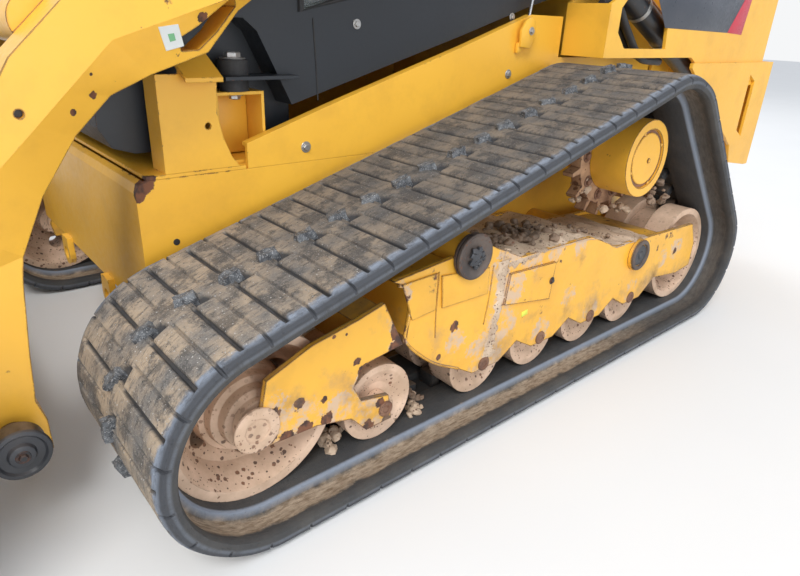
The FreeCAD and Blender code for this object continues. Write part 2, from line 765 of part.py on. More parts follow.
holes = [
    slab("side_window_hole", placed(side_glass), -CAB - 10, CAB + 10),
    box("rear_window_hole", (-GLASS_X, GLASS_X), (back(CAB_END - 80), back(CAB_END + 100)),
        (REAR_SILL, WINDOW_TOP)),
    box("door_hole", (-CAB + 60, CAB - 60), (back(CAB_FRONT - 10), back(CAB_FRONT + WALL + 10)),
        (985, CAB_TOP - 50)),
]
bracket = box("mount_bracket", (CAB - WALL, SIDE), (back(165), back(345)), (BRACKET, BRACKET + 8))
cab_whole = fuse("cab_whole", [slab("cab_block", placed(cab_side), -CAB, CAB),
                               slab("foot_block", placed(foot_side), -FOOT, FOOT), bracket,
                               mirrored("mount_bracket_mirror", bracket)])
cab_hollow = cut("cab_hollow", cab_whole, [slab("cab_room", placed(cab_room), -CAB + WALL, CAB - WALL),
                                           slab("foot_room", placed(foot_room), -FOOT + FOOT_WALL,
                                                FOOT - FOOT_WALL)]
                 + holes)

# Hinges
# Each hinge has a pin between two ears on the fixed piece, and a knuckle with a strap on the moving one.
PIN_R = size("hinge_pin_r")
KNUCKLE_R = size("hinge_knuckle_r")
LONG = size("hinge_long")
EAR = 18
DOOR_BACK = CAB_FRONT - 6
DOOR_FRONT = DOOR_BACK - size("door_thick")


def upright_hinge(name, x, y, z, radius, ear, strap):
    """Pieces of a hinge about a line along Z: the fixed ones, the moving ones and the hole."""
    fixed = [post(name + "_pin", radius, x, y, z - EAR - 1, z + LONG + EAR + 1)]
    for i, low in enumerate((z - EAR - 1, z + LONG + 1)):
        fixed.append(box(f"{name}_ear_{i}", ear[0], ear[1], (low, low + EAR)))
    knuckle = post(name + "_knuckle", radius * 7 / 4, x, y, z, z + LONG)
    moving = [knuckle, box(name + "_strap", strap[0], strap[1], (z, z + LONG))]
    return fixed, moving, post(name + "_bore", radius + PIN_GAP, x, y, z - 5, z + LONG + 5)


door_x = CAB - 27
door_y = back(DOOR_FRONT + 12)
door_hinges = [
    upright_hinge(f"door_hinge_{i}", door_x, door_y, z, PIN_R,
                  ((door_x - PIN_R, door_x + 16), (door_y - PIN_R, back(CAB_FRONT + 5))),
                  ((door_x - 40, door_x), (door_y - 12, door_y)))
    for i, z in enumerate((dim(1120), CAB_TOP - 270))]
node(fuse("cab_with_hinges", [cab_hollow] + [item for fixed, moving, bore in door_hinges for item in fixed]),
     "cab_shell")
roof_z = (CAB_TOP + GAP, CAB_TOP + size("roof_thick"))
roof_y = (back(CAB_FRONT - 30), back(CAB_END + 40))
lamps = []
for i, x in enumerate((-CAB + 115, CAB - 115)):
    lamps.append(box(f"front_lamp_{i}", (x - 55, x + 55), (roof_y[0] - 15, roof_y[0]),
                     (CAB_TOP + 12, CAB_TOP + 60)))
    lamps.append(box(f"rear_lamp_{i}", (x - 55, x + 55), (roof_y[1], roof_y[1] + 15),
                     (CAB_TOP + 12, CAB_TOP + 60)))
node(fuse("cab_roof", [box("roof_block", (-CAB, CAB), roof_y, roof_z)] + lamps), "cab_roof")
LIGHT_X = (-CAB + 95, CAB - 105)
LIGHT_Z = (1060, CAB_TOP - 80)
door_panel = box("door_panel", (-CAB + 35, CAB - 46), (back(DOOR_FRONT), back(DOOR_BACK)),
                 (1000, CAB_TOP - 20))
door_light = box("door_light", LIGHT_X, (back(DOOR_FRONT - 10), back(DOOR_BACK + 10)), LIGHT_Z)
node(cut("cab_door", fuse("door_whole", [door_panel] + [item for hinge in door_hinges for item in hinge[1]]),
         [door_light] + [hinge[2] for hinge in door_hinges]), "cab_door")
node(box("door_glass", (LIGHT_X[0] + GAP, LIGHT_X[1] - GAP), (back(DOOR_FRONT + 12), back(DOOR_FRONT + 18)),
         (LIGHT_Z[0] + GAP, LIGHT_Z[1] - GAP)), "door_glass")


def shrunk(outline, margin):
    """The corners of an outline, each moved towards its middle by the margin along both axes."""
    outline = [(dim(y), dim(z)) for y, z in outline]
    middle_y = sum(y.value for y, z in outline) / len(outline)
    middle_z = sum(z.value for y, z in outline) / len(outline)
    return [(y + margin if y.value < middle_y else y - margin,
             z + margin if z.value < middle_z else z - margin)
            for y, z in outline]


pane_left = slab("pane_left", placed(shrunk(side_glass, GAP * 2)), CAB - 20, CAB - 14)
rear_pane = box("rear_pane", (-GLASS_X + GAP, GLASS_X - GAP), (back(CAB_END - 24), back(CAB_END - 18)),
                (REAR_SILL + GAP, WINDOW_TOP - GAP))
node(group("cab_windows", [pane_left, mirrored("pane_right", pane_left), rear_pane]), "cab_windows")
CONSOLE_OUT = CAB - WALL - 5
CONSOLE_IN = CONSOLE_OUT - size("console_wide")
SEAT_HALF = CONSOLE_IN - 20
SEAT_TOP = CAB_TOP - 300
seat_side = [(760, 909.8), (760, 1180), (1120, 1160), (1180, SEAT_TOP), (1250, SEAT_TOP), (1250, 1054.6),
             (1165, 1030.3), (885, 945.3)]
node(slab("seat", placed(seat_side), -SEAT_HALF, SEAT_HALF), "seat")
console_side = [(700, 892.8), (700, 1200), (1120, 1230), (1120, 1016.8)]
STICK_X = CONSOLE_OUT - size("console_wide") / 2
console = fuse("console", [slab("console_block", placed(console_side), CONSOLE_IN, CONSOLE_OUT),
                           post("stick", 12, STICK_X, back(760), 1190, 1380),
                           post("grip", 24, STICK_X, back(760), 1330, 1430)])
pair([console], "consoles")

# Engine covers
HOOD_LOW = size("hood_low")
COVER_END = END + 1.7
COVER_X = SIDE - PLATE - GAP
COVER_WALL = 6
cover_side = placed([(1420, TOP + GAP), (1420, HOOD_LOW - GAP), (COVER_END, HOOD_LOW - GAP),
                     (COVER_END, TOP + GAP)])
covers = [slab("cover_left", cover_side, COVER_X - COVER_WALL, COVER_X),
          slab("cover_right", cover_side, -COVER_X, -COVER_X + COVER_WALL),
          box("cover_front", (-COVER_X, COVER_X), (back(1420), back(1420 + COVER_WALL)),
              (TOP + GAP, HOOD_LOW - GAP))]
hood_y = back(1440)
hood_z = HOOD_LOW + 25
hood_fixed = []
hood_moving = []
hood_bores = []
for i, x in enumerate((-300, 300)):
    low = x - LONG / 2
    high = x + LONG / 2
    hood_fixed.append(bar(f"hood_pin_{i}", PIN_R, low - EAR - 1, high + EAR + 1, hood_y, hood_z))
    for k, foot in enumerate((low - EAR - 1, high + 1)):
        hood_fixed.append(box(f"hood_ear_{i}_{k}", (foot, foot + EAR), (back(1420), back(1450)),
                              (HOOD_LOW - 12, hood_z + PIN_R)))
    hood_moving.append(bar(f"hood_knuckle_{i}", KNUCKLE_R, low, high, hood_y, hood_z))
    hood_moving.append(box(f"hood_strap_{i}", (low, high), (hood_y, back(1465)),
                           (hood_z, hood_z + KNUCKLE_R)))
    hood_bores.append(bar(f"hood_bore_{i}", PIN_R + PIN_GAP, low - 5, high + 5, hood_y, hood_z))
rear_x = SIDE - 7
rear_y = back(COVER_END + 38)
rear_hinges = [
    upright_hinge(f"rear_hinge_{i}", rear_x, rear_y, z, dim(6),
                  ((COVER_X - COVER_WALL, SIDE), (back(COVER_END - 20), rear_y + 8)),
                  ((rear_x - 30, rear_x), (rear_y - 2, rear_y + 10)))
    for i, z in enumerate((dim(980), dim(1250)))]
node(fuse("engine_housing", covers + hood_fixed + [item for hinge in rear_hinges for item in hinge[0]]),
     "engine_housing")
hood_top = HOOD_LOW + size("hood_thick")
hood_panel = box("hood_panel", (-SIDE + 20, SIDE - 20), (back(1460), back(COVER_END - 5)),
                 (HOOD_LOW, hood_top))
hood_slots = [box(f"hood_slot_{i}", (-300, 300), (back(1980 + 60 * i), back(2010 + 60 * i)),
                  (HOOD_LOW - 5, hood_top + 5)) for i in range(7)]
node(cut("hood", fuse("hood_whole", [hood_panel] + hood_moving), hood_bores + hood_slots), "hood")
rear_panel = box("rear_panel", (-SIDE + 20, SIDE - 25), (back(COVER_END + GAP), back(COVER_END + 48)),
                 (860, HOOD_LOW + 30))
slots = [box(f"grille_slot_{i}", (-330, 330), (back(COVER_END + 30), back(COVER_END + 60)),
             (950 + 60 * i, 980 + 60 * i))
         for i in range(7)]
node(cut("rear_door", fuse("rear_whole", [rear_panel] + [item for hinge in rear_hinges for item in hinge[1]]),
         slots + [hinge[2] for hinge in rear_hinges]), "rear_door")

# Lift arms
BEVEL_X = ARM_OUT - size("arm_bevel")
TIP_Y = -size("tip_front")
TIP_Z = size("tip_high")
TIP = (back(TIP_Y), TIP_Z)
TILT_BASE = (back(size("tilt_base_back")), size("tilt_base_high"))
# The nose, then the back and under edge up to the pivot, and the upper and front edge down again
arm_nose = [(-422, 300), (TIP_Y - 64, TIP_Z - 10), (TIP_Y - 49, TIP_Z - 62), (TIP_Y - 9, TIP_Z - 82),
            (TIP_Y + 34, TIP_Z - 78), (TIP_Y + 59, TIP_Z - 58), (TIP_Y + 59, TIP_Z + 8), (-314, 256),
            (-305, 363), (-290, 500)]
# Where the outer plate is bent: each corner of the back edge with the bend beside it, on the outer face
arm_bend = [
    ((-282, 540), (-385, 615)), ((-235, 639), (-290, 700)), ((-168, 735), (-230, 758)),
    ((-102, 799), (-180, 807)),
    ((-30, 831), (-95, 890)), ((82, 869), (20, 929)), ((148, 943), (112, 960)), ((430, 1135), (425, 1165)),
    ((1000, 1290), (1000, 1318)), ((1900, 1420), (1900, 1448)), ((PB - 70, PZ - 90), (PB - 66, PZ - 75)),
    ((PB + 30, PZ - 100), (PB + 28, PZ - 82)), ((PB + 90, PZ - 50), (PB + 76, PZ - 42))]
arm_over = [(PB + 100, PZ + 30), (PB + 50, PZ + 90), (PB - 30, PZ + 105), (1900, 1620), (900, 1500),
            (300, 1330), (-60, 1060), (-165, 946), (-250, 864), (-380, 660)]
arm_front = (-420, 500)
arm_plain = slab("arm_plain", placed(arm_nose + [edge for edge, bend in arm_bend] + arm_over + [arm_front]),
                 ARM_IN, BEVEL_X)
arm_block = doc.addObject("PartDesign::Body", "arm_block")
bend_low = outline_sketch(arm_block, "YZ_Plane",
                          placed([edge for edge, bend in arm_bend] + arm_over + [arm_front]))
bend_high = outline_sketch(arm_block, "YZ_Plane",
                           placed([bend for edge, bend in arm_bend] + arm_over + [(-412, 560)]))
bind(bend_high, "AttachmentOffset.Base.z", ARM_OUT - BEVEL_X)
bend_loft = arm_block.newObject("PartDesign::AdditiveLoft", "arm_bend")
bend_loft.Profile = bend_low
bend_loft.Sections = [bend_high]
bend_loft.Ruled = True
bind(arm_block, "Placement.Base.x", BEVEL_X)
arm_window = slab("arm_window", placed([(130, 968), (60, 915), (22, 893), (28, 872), (62, 874), (100, 905),
                                        (138, 950)]),
                  ARM_IN - 10, ARM_OUT + 10)
arm = cut("arm_cut", fuse("arm_whole", [arm_plain, arm_block]), [
    bar("arm_pivot_bore", size("pivot_r") + PIN_GAP, ARM_IN - 10, ARM_OUT + 10, *PIVOT),
    bar("arm_tip_bore", size("tip_pin_r") + PIN_GAP, ARM_IN - 10, ARM_OUT + 10, *TIP), arm_window,
    bar("arm_hole", 7, ARM_OUT - 15, ARM_OUT + 10, back(-250), 780)])
LIFT_Y = size("lift_eye_back")
LIFT_Z = size("lift_eye_high")
lug_side = placed([(LIFT_Y - 100, LIFT_Z + 110), (LIFT_Y - 60, LIFT_Z - 30), (LIFT_Y, LIFT_Z - 50),
                   (LIFT_Y + 60, LIFT_Z - 30), (LIFT_Y + 100, LIFT_Z + 130)])
lugs = [slab("lift_lug_inner", lug_side, ARM_IN, ARM_IN + 15),
        slab("lift_lug_outer", lug_side, ARM_OUT - 15, ARM_OUT - 3)]
tilt_pin = bar("tilt_base_pin", size("tilt_pin_r"), CYLINDER_X["tilt"] - size("eye_wide") / 2 - 10, ARM_IN,
               *TILT_BASE)
arm_left = fuse("arm_left", [arm] + lugs + [tilt_pin])
cross_tube = bar("cross_tube", 45, -ARM_IN, ARM_IN, back(-180), 915)
node(fuse("lift_arms", [arm_left, mirrored("arm_right", arm_left), cross_tube]), "lift_arms")


def cylinder(name, start, end, rod_start, room):
    """A barrel and a rod with their eyes. The bore leaves this much room behind the rod."""
    barrel_r = size(name + "_barrel_r")
    rod_r = size(name + "_rod_r")
    pin_r = size(name + "_pin_r")
    x = CYLINDER_X[name]
    half = size("eye_wide") / 2
    y0, z0 = (length.value for length in start)
    y1, z1 = (length.value for length in end)
    span = math.hypot(y1 - y0, z1 - z0)
    turn = Rotation(Vector(1, 0, 0), math.degrees(math.atan2(z1 - z0, y1 - y0)))
    barrel_end = span * 0.78

    def along(label, radius, begin, finish):
        item = doc.addObject("Part::Cylinder", label)
        bind(item, "Radius", radius)
        bind(item, "Height", finish - begin)
        foot = Vector(x.value, y0, z0) + turn.multVec(Vector(0, begin, 0))
        item.Placement = FreeCAD.Placement(foot, turn.multiply(Rotation(Vector(1, 0, 0), -90)))
        return item

    base_eye = bar(name + "_base_eye", pin_r + 16, x - half, x + half, *start)
    base_bore = bar(name + "_base_bore", pin_r + PIN_GAP, x - half - 5, x + half + 5, *start)
    tube = along(name + "_tube", barrel_r, pin_r.value + 6, barrel_end)
    gland = along(name + "_gland", barrel_r + 3, barrel_end - 45, barrel_end)
    bore = along(name + "_bore", rod_r + PIN_GAP * 2, rod_start - room, barrel_end + 5)
    barrel = cut(name + "_barrel", fuse(name + "_barrel_body", [base_eye, tube, gland]), [base_bore, bore])
    rod_eye = bar(name + "_rod_eye", rod_r * 1.6, x - half, x + half, *end)
    stick = along(name + "_stick", rod_r, rod_start, span)
    both_sides(barrel, name + "_barrel")
    both_sides(fuse(name + "_rod", [rod_eye, stick]), name + "_rod")


TILT_Y = -size("tilt_eye_front")
TILT_Z = size("tilt_eye_high")
cylinder("lift", LIFT_BASE, (back(LIFT_Y), LIFT_Z), 90, 15)
cylinder("tilt", TILT_BASE, (back(TILT_Y), TILT_Z), 165, 95)

# Coupler and bucket
FACE_Y = -size("coupler_front")
HANGER_X = CYLINDER_X["tilt"] - 59
hanger_side = placed([(TIP_Y + 31, TIP_Z - 42), (TIP_Y + 31, TIP_Z + 38), (TILT_Y + 50, TILT_Z + 40),
                      (TILT_Y - 60, TILT_Z + 80), (FACE_Y + 20, TILT_Z + 80), (FACE_Y + 20, 80),
                      (TIP_Y - 59, 120)])
coupler_half = fuse("coupler_left", [
    slab("hanger", hanger_side, HANGER_X, HANGER_X + 20),
    bar("tip_pin", size("tip_pin_r"), HANGER_X, ARM_OUT + 20, *TIP),
    bar("tip_cap", size("tip_cap_r"), ARM_OUT + 6, ARM_OUT + 40, *TIP)])
coupler_plate = box("coupler_plate", (-HANGER_X - 30, HANGER_X + 30), (back(FACE_Y), back(FACE_Y + 20)),
                    (80, 520))
coupler_tube = bar("coupler_tube", 38, -HANGER_X, HANGER_X, *TIP)
node(fuse("coupler", [coupler_half, mirrored("coupler_right", coupler_half), coupler_plate, coupler_tube]),
     "coupler")

BUCKET = size("bucket_half")
LIP = -size("bucket_front")
FLOOR = size("bucket_low")
BACK = FACE_Y - GAP
RIM_Z = size("bucket_top")
shell_out = [(LIP, FLOOR), (-740, FLOOR), (-620, FLOOR + 80), (BACK, 260), (BACK, RIM_Z - 60),
             (BACK - 70, RIM_Z)]
shell_in = [(BACK - 80, RIM_Z - 10), (BACK - 15, RIM_Z - 65), (BACK - 15, 262), (-632, FLOOR + 88),
            (-745, FLOOR + 14), (LIP, FLOOR + 10)]
cheek_side = shell_out + [(BACK - 320, RIM_Z - 140), (LIP + 20, FLOOR + 50)]
cheek = slab("bucket_cheek", placed(cheek_side), BUCKET - PLATE, BUCKET)
EDGE = size("edge_thick")
edge_side = [(LIP, FLOOR), (LIP + size("edge_deep"), FLOOR), (LIP + size("edge_deep"), FLOOR + EDGE),
             (LIP + EDGE, FLOOR + EDGE)]
cutting_edge = slab("cutting_edge", placed(edge_side), -BUCKET, BUCKET)
cutter_side = [(LIP + 20, FLOOR + 50), (LIP, FLOOR), (LIP + 130, FLOOR), (LIP + 130, FLOOR + 60),
               (BACK - 260, RIM_Z - 130), (BACK - 320, RIM_Z - 140)]
cutter = slab("side_cutter", placed(cutter_side), BUCKET, BUCKET + size("cutter_thick"))
cheeks = [cheek, cutter]
node(fuse("bucket", [slab("bucket_skin", placed(shell_out + shell_in), -BUCKET, BUCKET), cutting_edge]
          + cheeks + [mirrored(f"cheek_mirror_{i}", item) for i, item in enumerate(cheeks)]), "bucket")

# Write the pieces
doc.recompute()
for item in doc.Objects:
    if "Invalid" in item.State or "Error" in item.State:
        raise RuntimeError(f"{item.Name} failed: {item.State}")
for item in NODES:
    if item.Shape.isNull() or not item.Shape.isValid():
        raise RuntimeError(f"{item.Label} has no valid shape")
os.makedirs("parts", exist_ok=True)
print("pitches", PITCHES, "of", round(PITCH, 2))
for item in NODES:
    item.Shape.exportStep(f"parts/{item.Label}.step")
    bounds = item.Shape.BoundBox
    corners = (bounds.XMin, bounds.YMin, bounds.ZMin, bounds.XMax, bounds.YMax, bounds.ZMax)
    print(item.Label, len(item.Shape.Solids), [round(v) for v in corners])
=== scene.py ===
# %% [markdown]
# This lesson dresses a compact track loader. The construction comes from the frame: every steel piece is
# already there at its real size. What is added here is what the eye reads first: the worn rubber tread,
# bolts, hoses, the soft seat, soil, and a finish for every surface.
# All lengths are metres. The machine looks along -Y, and its left side is +X.

# %% Load the frame
import math
import random

import bmesh
import bpy
from mathutils import Matrix, Vector, noise


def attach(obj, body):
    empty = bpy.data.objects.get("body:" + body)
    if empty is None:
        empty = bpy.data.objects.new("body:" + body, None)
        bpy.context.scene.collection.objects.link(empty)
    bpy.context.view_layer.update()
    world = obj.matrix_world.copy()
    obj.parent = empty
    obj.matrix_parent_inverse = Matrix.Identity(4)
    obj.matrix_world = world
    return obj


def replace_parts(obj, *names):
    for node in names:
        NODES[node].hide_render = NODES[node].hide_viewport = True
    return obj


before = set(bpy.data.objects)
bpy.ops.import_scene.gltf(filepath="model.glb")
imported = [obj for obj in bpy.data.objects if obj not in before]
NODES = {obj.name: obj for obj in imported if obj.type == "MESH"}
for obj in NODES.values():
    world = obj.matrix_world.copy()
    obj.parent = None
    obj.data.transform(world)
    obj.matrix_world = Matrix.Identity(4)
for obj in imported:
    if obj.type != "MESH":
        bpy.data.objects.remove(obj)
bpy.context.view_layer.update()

# %% [markdown]
# The photograph was taken with a short lens from the machine's left front, at about the height of a
# standing person's chest. The camera's place and its three directions were fitted to the photograph.

# %% Camera
EYE = Vector((1.748, -1.136, 0.938))
RIGHT = Vector((0.647, 0.761, 0.040))
UP = Vector((-0.330, 0.233, 0.915))
lens = bpy.data.cameras.new("camera")
lens.lens = 27.39
lens.sensor_width = 36
lens.sensor_fit = "HORIZONTAL"
camera = bpy.data.objects.new("camera", lens)
bpy.context.scene.collection.objects.link(camera)
right = RIGHT.normalized()
up = (UP - UP.dot(right) * right).normalized()
turn = Matrix((right, up, right.cross(up))).transposed()
camera.matrix_world = Matrix.Translation(EYE) @ turn.to_4x4()
bpy.context.scene.camera = camera
bpy.context.scene.view_settings.view_transform = "Standard"
print("camera at", tuple(round(v, 3) for v in EYE))

# %% [markdown]
# Nodes are wired with one helper: it adds a node, sets its own settings, and fills each input with a
# number, a colour or another node's output. A pattern always starts from Object coordinates, which are
# the machine's own metres here, so a pattern keeps its real scale on every piece.

# %% Node helpers


def add(tree, kind, inputs=None, **settings):
    """A node with its settings, its inputs filled from numbers or from other nodes' outputs."""
    item = tree.nodes.new(kind)
    for key, value in settings.items():
        setattr(item, key, value)
    for key, value in (inputs or {}).items():
        if isinstance(value, bpy.types.NodeSocket):
            tree.links.new(value, item.inputs[key])
        else:
            item.inputs[key].default_value = value
    return item


def maths(tree, operation, first, second=0.0):
    return add(tree, "ShaderNodeMath", {0: first, 1: second}, operation=operation).outputs[0]


def spread(tree, value, low, high, to_low=0.0, to_high=1.0):
    """The value from low to high, laid out from to_low to to_high and held there."""
    item = add(tree, "ShaderNodeMapRange", {"Value": value, "From Min": low, "From Max": high,
                                            "To Min": to_low, "To Max": to_high})
    return item.outputs["Result"]


def cloud(tree, place, scale, detail=3.0, rough=0.5):
    item = add(tree, "ShaderNodeTexNoise",
               {"Vector": place, "Scale": scale, "Detail": detail, "Roughness": rough})
    return item.outputs["Fac"]


def blend_colour(tree, share, first, second):
    item = add(tree, "ShaderNodeMix", {"Factor": share, 6: first, 7: second}, data_type="RGBA")
    return item.outputs[2]


def colour(red, green, blue):
    return (red, green, blue, 1.0)


def new_group(name, inputs, outputs):
    """An empty node group with number inputs (name: value) and outputs (name: kind)."""
    tree = bpy.data.node_groups.new(name, "ShaderNodeTree")
    for label, value in inputs.items():
        socket = tree.interface.new_socket(label, in_out="INPUT", socket_type="NodeSocketFloat")
        socket.default_value = value
    for label, kind in outputs.items():
        tree.interface.new_socket(label, in_out="OUTPUT", socket_type=kind)
    start = tree.nodes.new("NodeGroupInput")
    end = tree.nodes.new("NodeGroupOutput")
    place = add(tree, "ShaderNodeTexCoord").outputs["Object"]
    return tree, start.outputs, end.inputs, place


def use(tree, group, output, **values):
    item = add(tree, "ShaderNodeGroup", node_tree=group)
    for label, value in values.items():
        socket = item.inputs[label.replace("_", " ")]
        if isinstance(value, bpy.types.NodeSocket):
            tree.links.new(value, socket)
        else:
            socket.default_value = value
    return item.outputs[output]


MASK = "NodeSocketFloat"
print("node helpers ready")

# %% [markdown]
# Steel that works in mud loses its paint first along the edges. The Bevel node looks a few millimetres
# round each point, and where the surface turns there its normal differs from the real one. Broken up by
# a noise, that difference becomes chips along the edges.

# %% Shared effects
edge_group, given, out, place = new_group("edge_chips", {"Radius": 0.006, "Cover": 0.5, "Scale": 40.0},
                                          {"Mask": MASK})
rounded = add(edge_group, "ShaderNodeBevel", {"Radius": given["Radius"]}, samples=6).outputs["Normal"]
flat = add(edge_group, "ShaderNodeNewGeometry").outputs["Normal"]
likeness = add(edge_group, "ShaderNodeVectorMath", {0: rounded, 1: flat},
               operation="DOT_PRODUCT").outputs["Value"]
bend = spread(edge_group, maths(edge_group, "SUBTRACT", 1.0, likeness), 0.0, 0.12)
broken = cloud(edge_group, place, given["Scale"], 5.0, 0.65)
loose = cloud(edge_group, place, 3.0, 2.0)
sum_up = maths(edge_group, "ADD", maths(edge_group, "MULTIPLY", bend, 0.45),
               maths(edge_group, "ADD", maths(edge_group, "MULTIPLY", broken, 0.9),
                     maths(edge_group, "MULTIPLY", loose, 0.5)))
limit = maths(edge_group, "SUBTRACT", 1.45, maths(edge_group, "MULTIPLY", given["Cover"], 0.6))
sharp = spread(edge_group, maths(edge_group, "SUBTRACT", sum_up, limit), -0.02, 0.03)
edge_group.links.new(maths(edge_group, "MULTIPLY", sharp, spread(edge_group, bend, 0.05, 0.3)), out["Mask"])

spot_group, given, out, place = new_group("spots", {"Scale": 20.0, "Cover": 0.2, "Soft": 0.03},
                                          {"Mask": MASK})
fine = cloud(spot_group, place, given["Scale"], 4.0, 0.6)
wide = cloud(spot_group, place, maths(spot_group, "MULTIPLY", given["Scale"], 0.14), 2.0)
both = maths(spot_group, "ADD", maths(spot_group, "MULTIPLY", fine, 0.7),
             maths(spot_group, "MULTIPLY", wide, 0.3))
limit = maths(spot_group, "SUBTRACT", 0.72, maths(spot_group, "MULTIPLY", given["Cover"], 0.42))
step = maths(spot_group, "DIVIDE", maths(spot_group, "SUBTRACT", both, limit), given["Soft"])
spot_group.links.new(spread(spot_group, step, -1.0, 1.0), out["Mask"])

soil_group, given, out, place = new_group(
    "settled_soil", {"Low": 0.1, "High": 0.6, "Cover": 0.5, "Scale": 9.0}, {"Mask": MASK})
height = add(soil_group, "ShaderNodeSeparateXYZ", {0: place}).outputs["Z"]
facing = add(soil_group, "ShaderNodeSeparateXYZ",
             {0: add(soil_group, "ShaderNodeNewGeometry").outputs["Normal"]})
upward = spread(soil_group, facing.outputs["Z"], 0.2, 0.9)
low_down = add(soil_group, "ShaderNodeMapRange",
               {"Value": height, "From Min": given["High"], "From Max": given["Low"]})
fine = cloud(soil_group, place, given["Scale"], 6.0, 0.62)
much = maths(soil_group, "MULTIPLY", low_down.outputs["Result"],
             maths(soil_group, "ADD", 0.55, maths(soil_group, "MULTIPLY", upward, 0.75)))
limit = maths(soil_group, "SUBTRACT", 0.95,
              maths(soil_group, "MULTIPLY", maths(soil_group, "MULTIPLY", much, given["Cover"]), 0.9))
soil_group.links.new(spread(soil_group, maths(soil_group, "SUBTRACT", fine, limit), -0.22, 0.12), out["Mask"])

patch_group, given, out, place = new_group("patch", {"X": 0.0, "Y": 0.0, "Z": 0.0, "Radius": 0.02},
                                           {"Mask": MASK})
axes = add(patch_group, "ShaderNodeSeparateXYZ", {0: place})
here = add(patch_group, "ShaderNodeCombineXYZ", {0: maths(patch_group, "ABSOLUTE", axes.outputs["X"]),
                                                 1: axes.outputs["Y"], 2: axes.outputs["Z"]}).outputs[0]
there = add(patch_group, "ShaderNodeCombineXYZ", {0: given["X"], 1: given["Y"], 2: given["Z"]}).outputs[0]
far = add(patch_group, "ShaderNodeVectorMath", {0: here, 1: there}, operation="DISTANCE").outputs["Value"]
ragged = maths(patch_group, "MULTIPLY", maths(patch_group, "SUBTRACT",
                                              cloud(patch_group, place, 60.0, 5.0, 0.65), 0.5), 2.2)
share = maths(patch_group, "ADD", maths(patch_group, "DIVIDE", far, given["Radius"]), ragged)
patch_group.links.new(spread(patch_group, share, 1.06, 0.96), out["Mask"])

round_group, given, out, place = new_group("round_spots", {"Scale": 60.0, "Size": 0.25, "Share": 0.4},
                                           {"Mask": MASK})
cells = add(round_group, "ShaderNodeTexVoronoi", {"Vector": place, "Scale": given["Scale"]})
chance = add(round_group, "ShaderNodeSeparateColor", {0: cells.outputs["Color"]})
wobble = maths(round_group, "MULTIPLY", maths(round_group, "SUBTRACT", cloud(round_group, place, 260.0, 2.0),
                                              0.5), 0.25)
edge = maths(round_group, "MULTIPLY", given["Size"], maths(round_group, "ADD", 0.4, chance.outputs["Green"]))
dot = spread(round_group, maths(round_group, "SUBTRACT", maths(round_group, "ADD", cells.outputs["Distance"],
                                                               wobble), edge), 0.03, -0.03)
chosen = maths(round_group, "LESS_THAN", chance.outputs["Red"], given["Share"])
round_group.links.new(maths(round_group, "MULTIPLY", dot, chosen), out["Mask"])
print("effects:", edge_group.name, spot_group.name, soil_group.name, patch_group.name, round_group.name)

# %% [markdown]
# A finish starts from a blank material with one Principled shader. Values that are the same all over
# the surface are set on the shader itself.

# %% Blank material
SOIL = colour(0.34, 0.235, 0.15)
SOIL_DARK = colour(0.105, 0.068, 0.042)
WASH = colour(0.56, 0.40, 0.275)
RUST = colour(0.17, 0.062, 0.026)
RUST_DARK = colour(0.045, 0.02, 0.014)


def blank(name, **values):
    material = bpy.data.materials.new(name)
    material.use_nodes = True
    tree = material.node_tree
    tree.nodes.clear()
    shader = tree.nodes.new("ShaderNodeBsdfPrincipled")
    end = tree.nodes.new("ShaderNodeOutputMaterial")
    tree.links.new(shader.outputs[0], end.inputs["Surface"])
    for label, value in values.items():
        shader.inputs[label.replace("_", " ")].default_value = value
    place = add(tree, "ShaderNodeTexCoord").outputs["Object"]
    return material, tree, shader, place


def bumped(tree, shader, height, strength, distance, round_edge=0.0):
    """Feed a height into the shader's normal, over edges softened by a few millimetres where asked."""
    inputs = {"Height": height, "Strength": strength, "Distance": distance}
    if round_edge:
        inputs["Normal"] = add(tree, "ShaderNodeBevel", {"Radius": round_edge}, samples=4).outputs["Normal"]
    bump = add(tree, "ShaderNodeBump", inputs)
    tree.links.new(bump.outputs["Normal"], shader.inputs["Normal"])


def soil_colour(tree, place):
    return blend_colour(tree, spread(tree, cloud(tree, place, 14.0, 5.0, 0.6), 0.35, 0.65), SOIL_DARK, SOIL)


def rust_colour(tree, place):
    return blend_colour(tree, spread(tree, cloud(tree, place, 55.0, 3.0), 0.4, 0.62), RUST_DARK, RUST)


print("soil and rust colours set")

# %% [markdown]
# The paint is a warm yellow, a little darker in places where grease and rain have run. It shows rust at
# chipped edges and in scattered spots, and soil where the machine is low or faces up.

# %% Paint


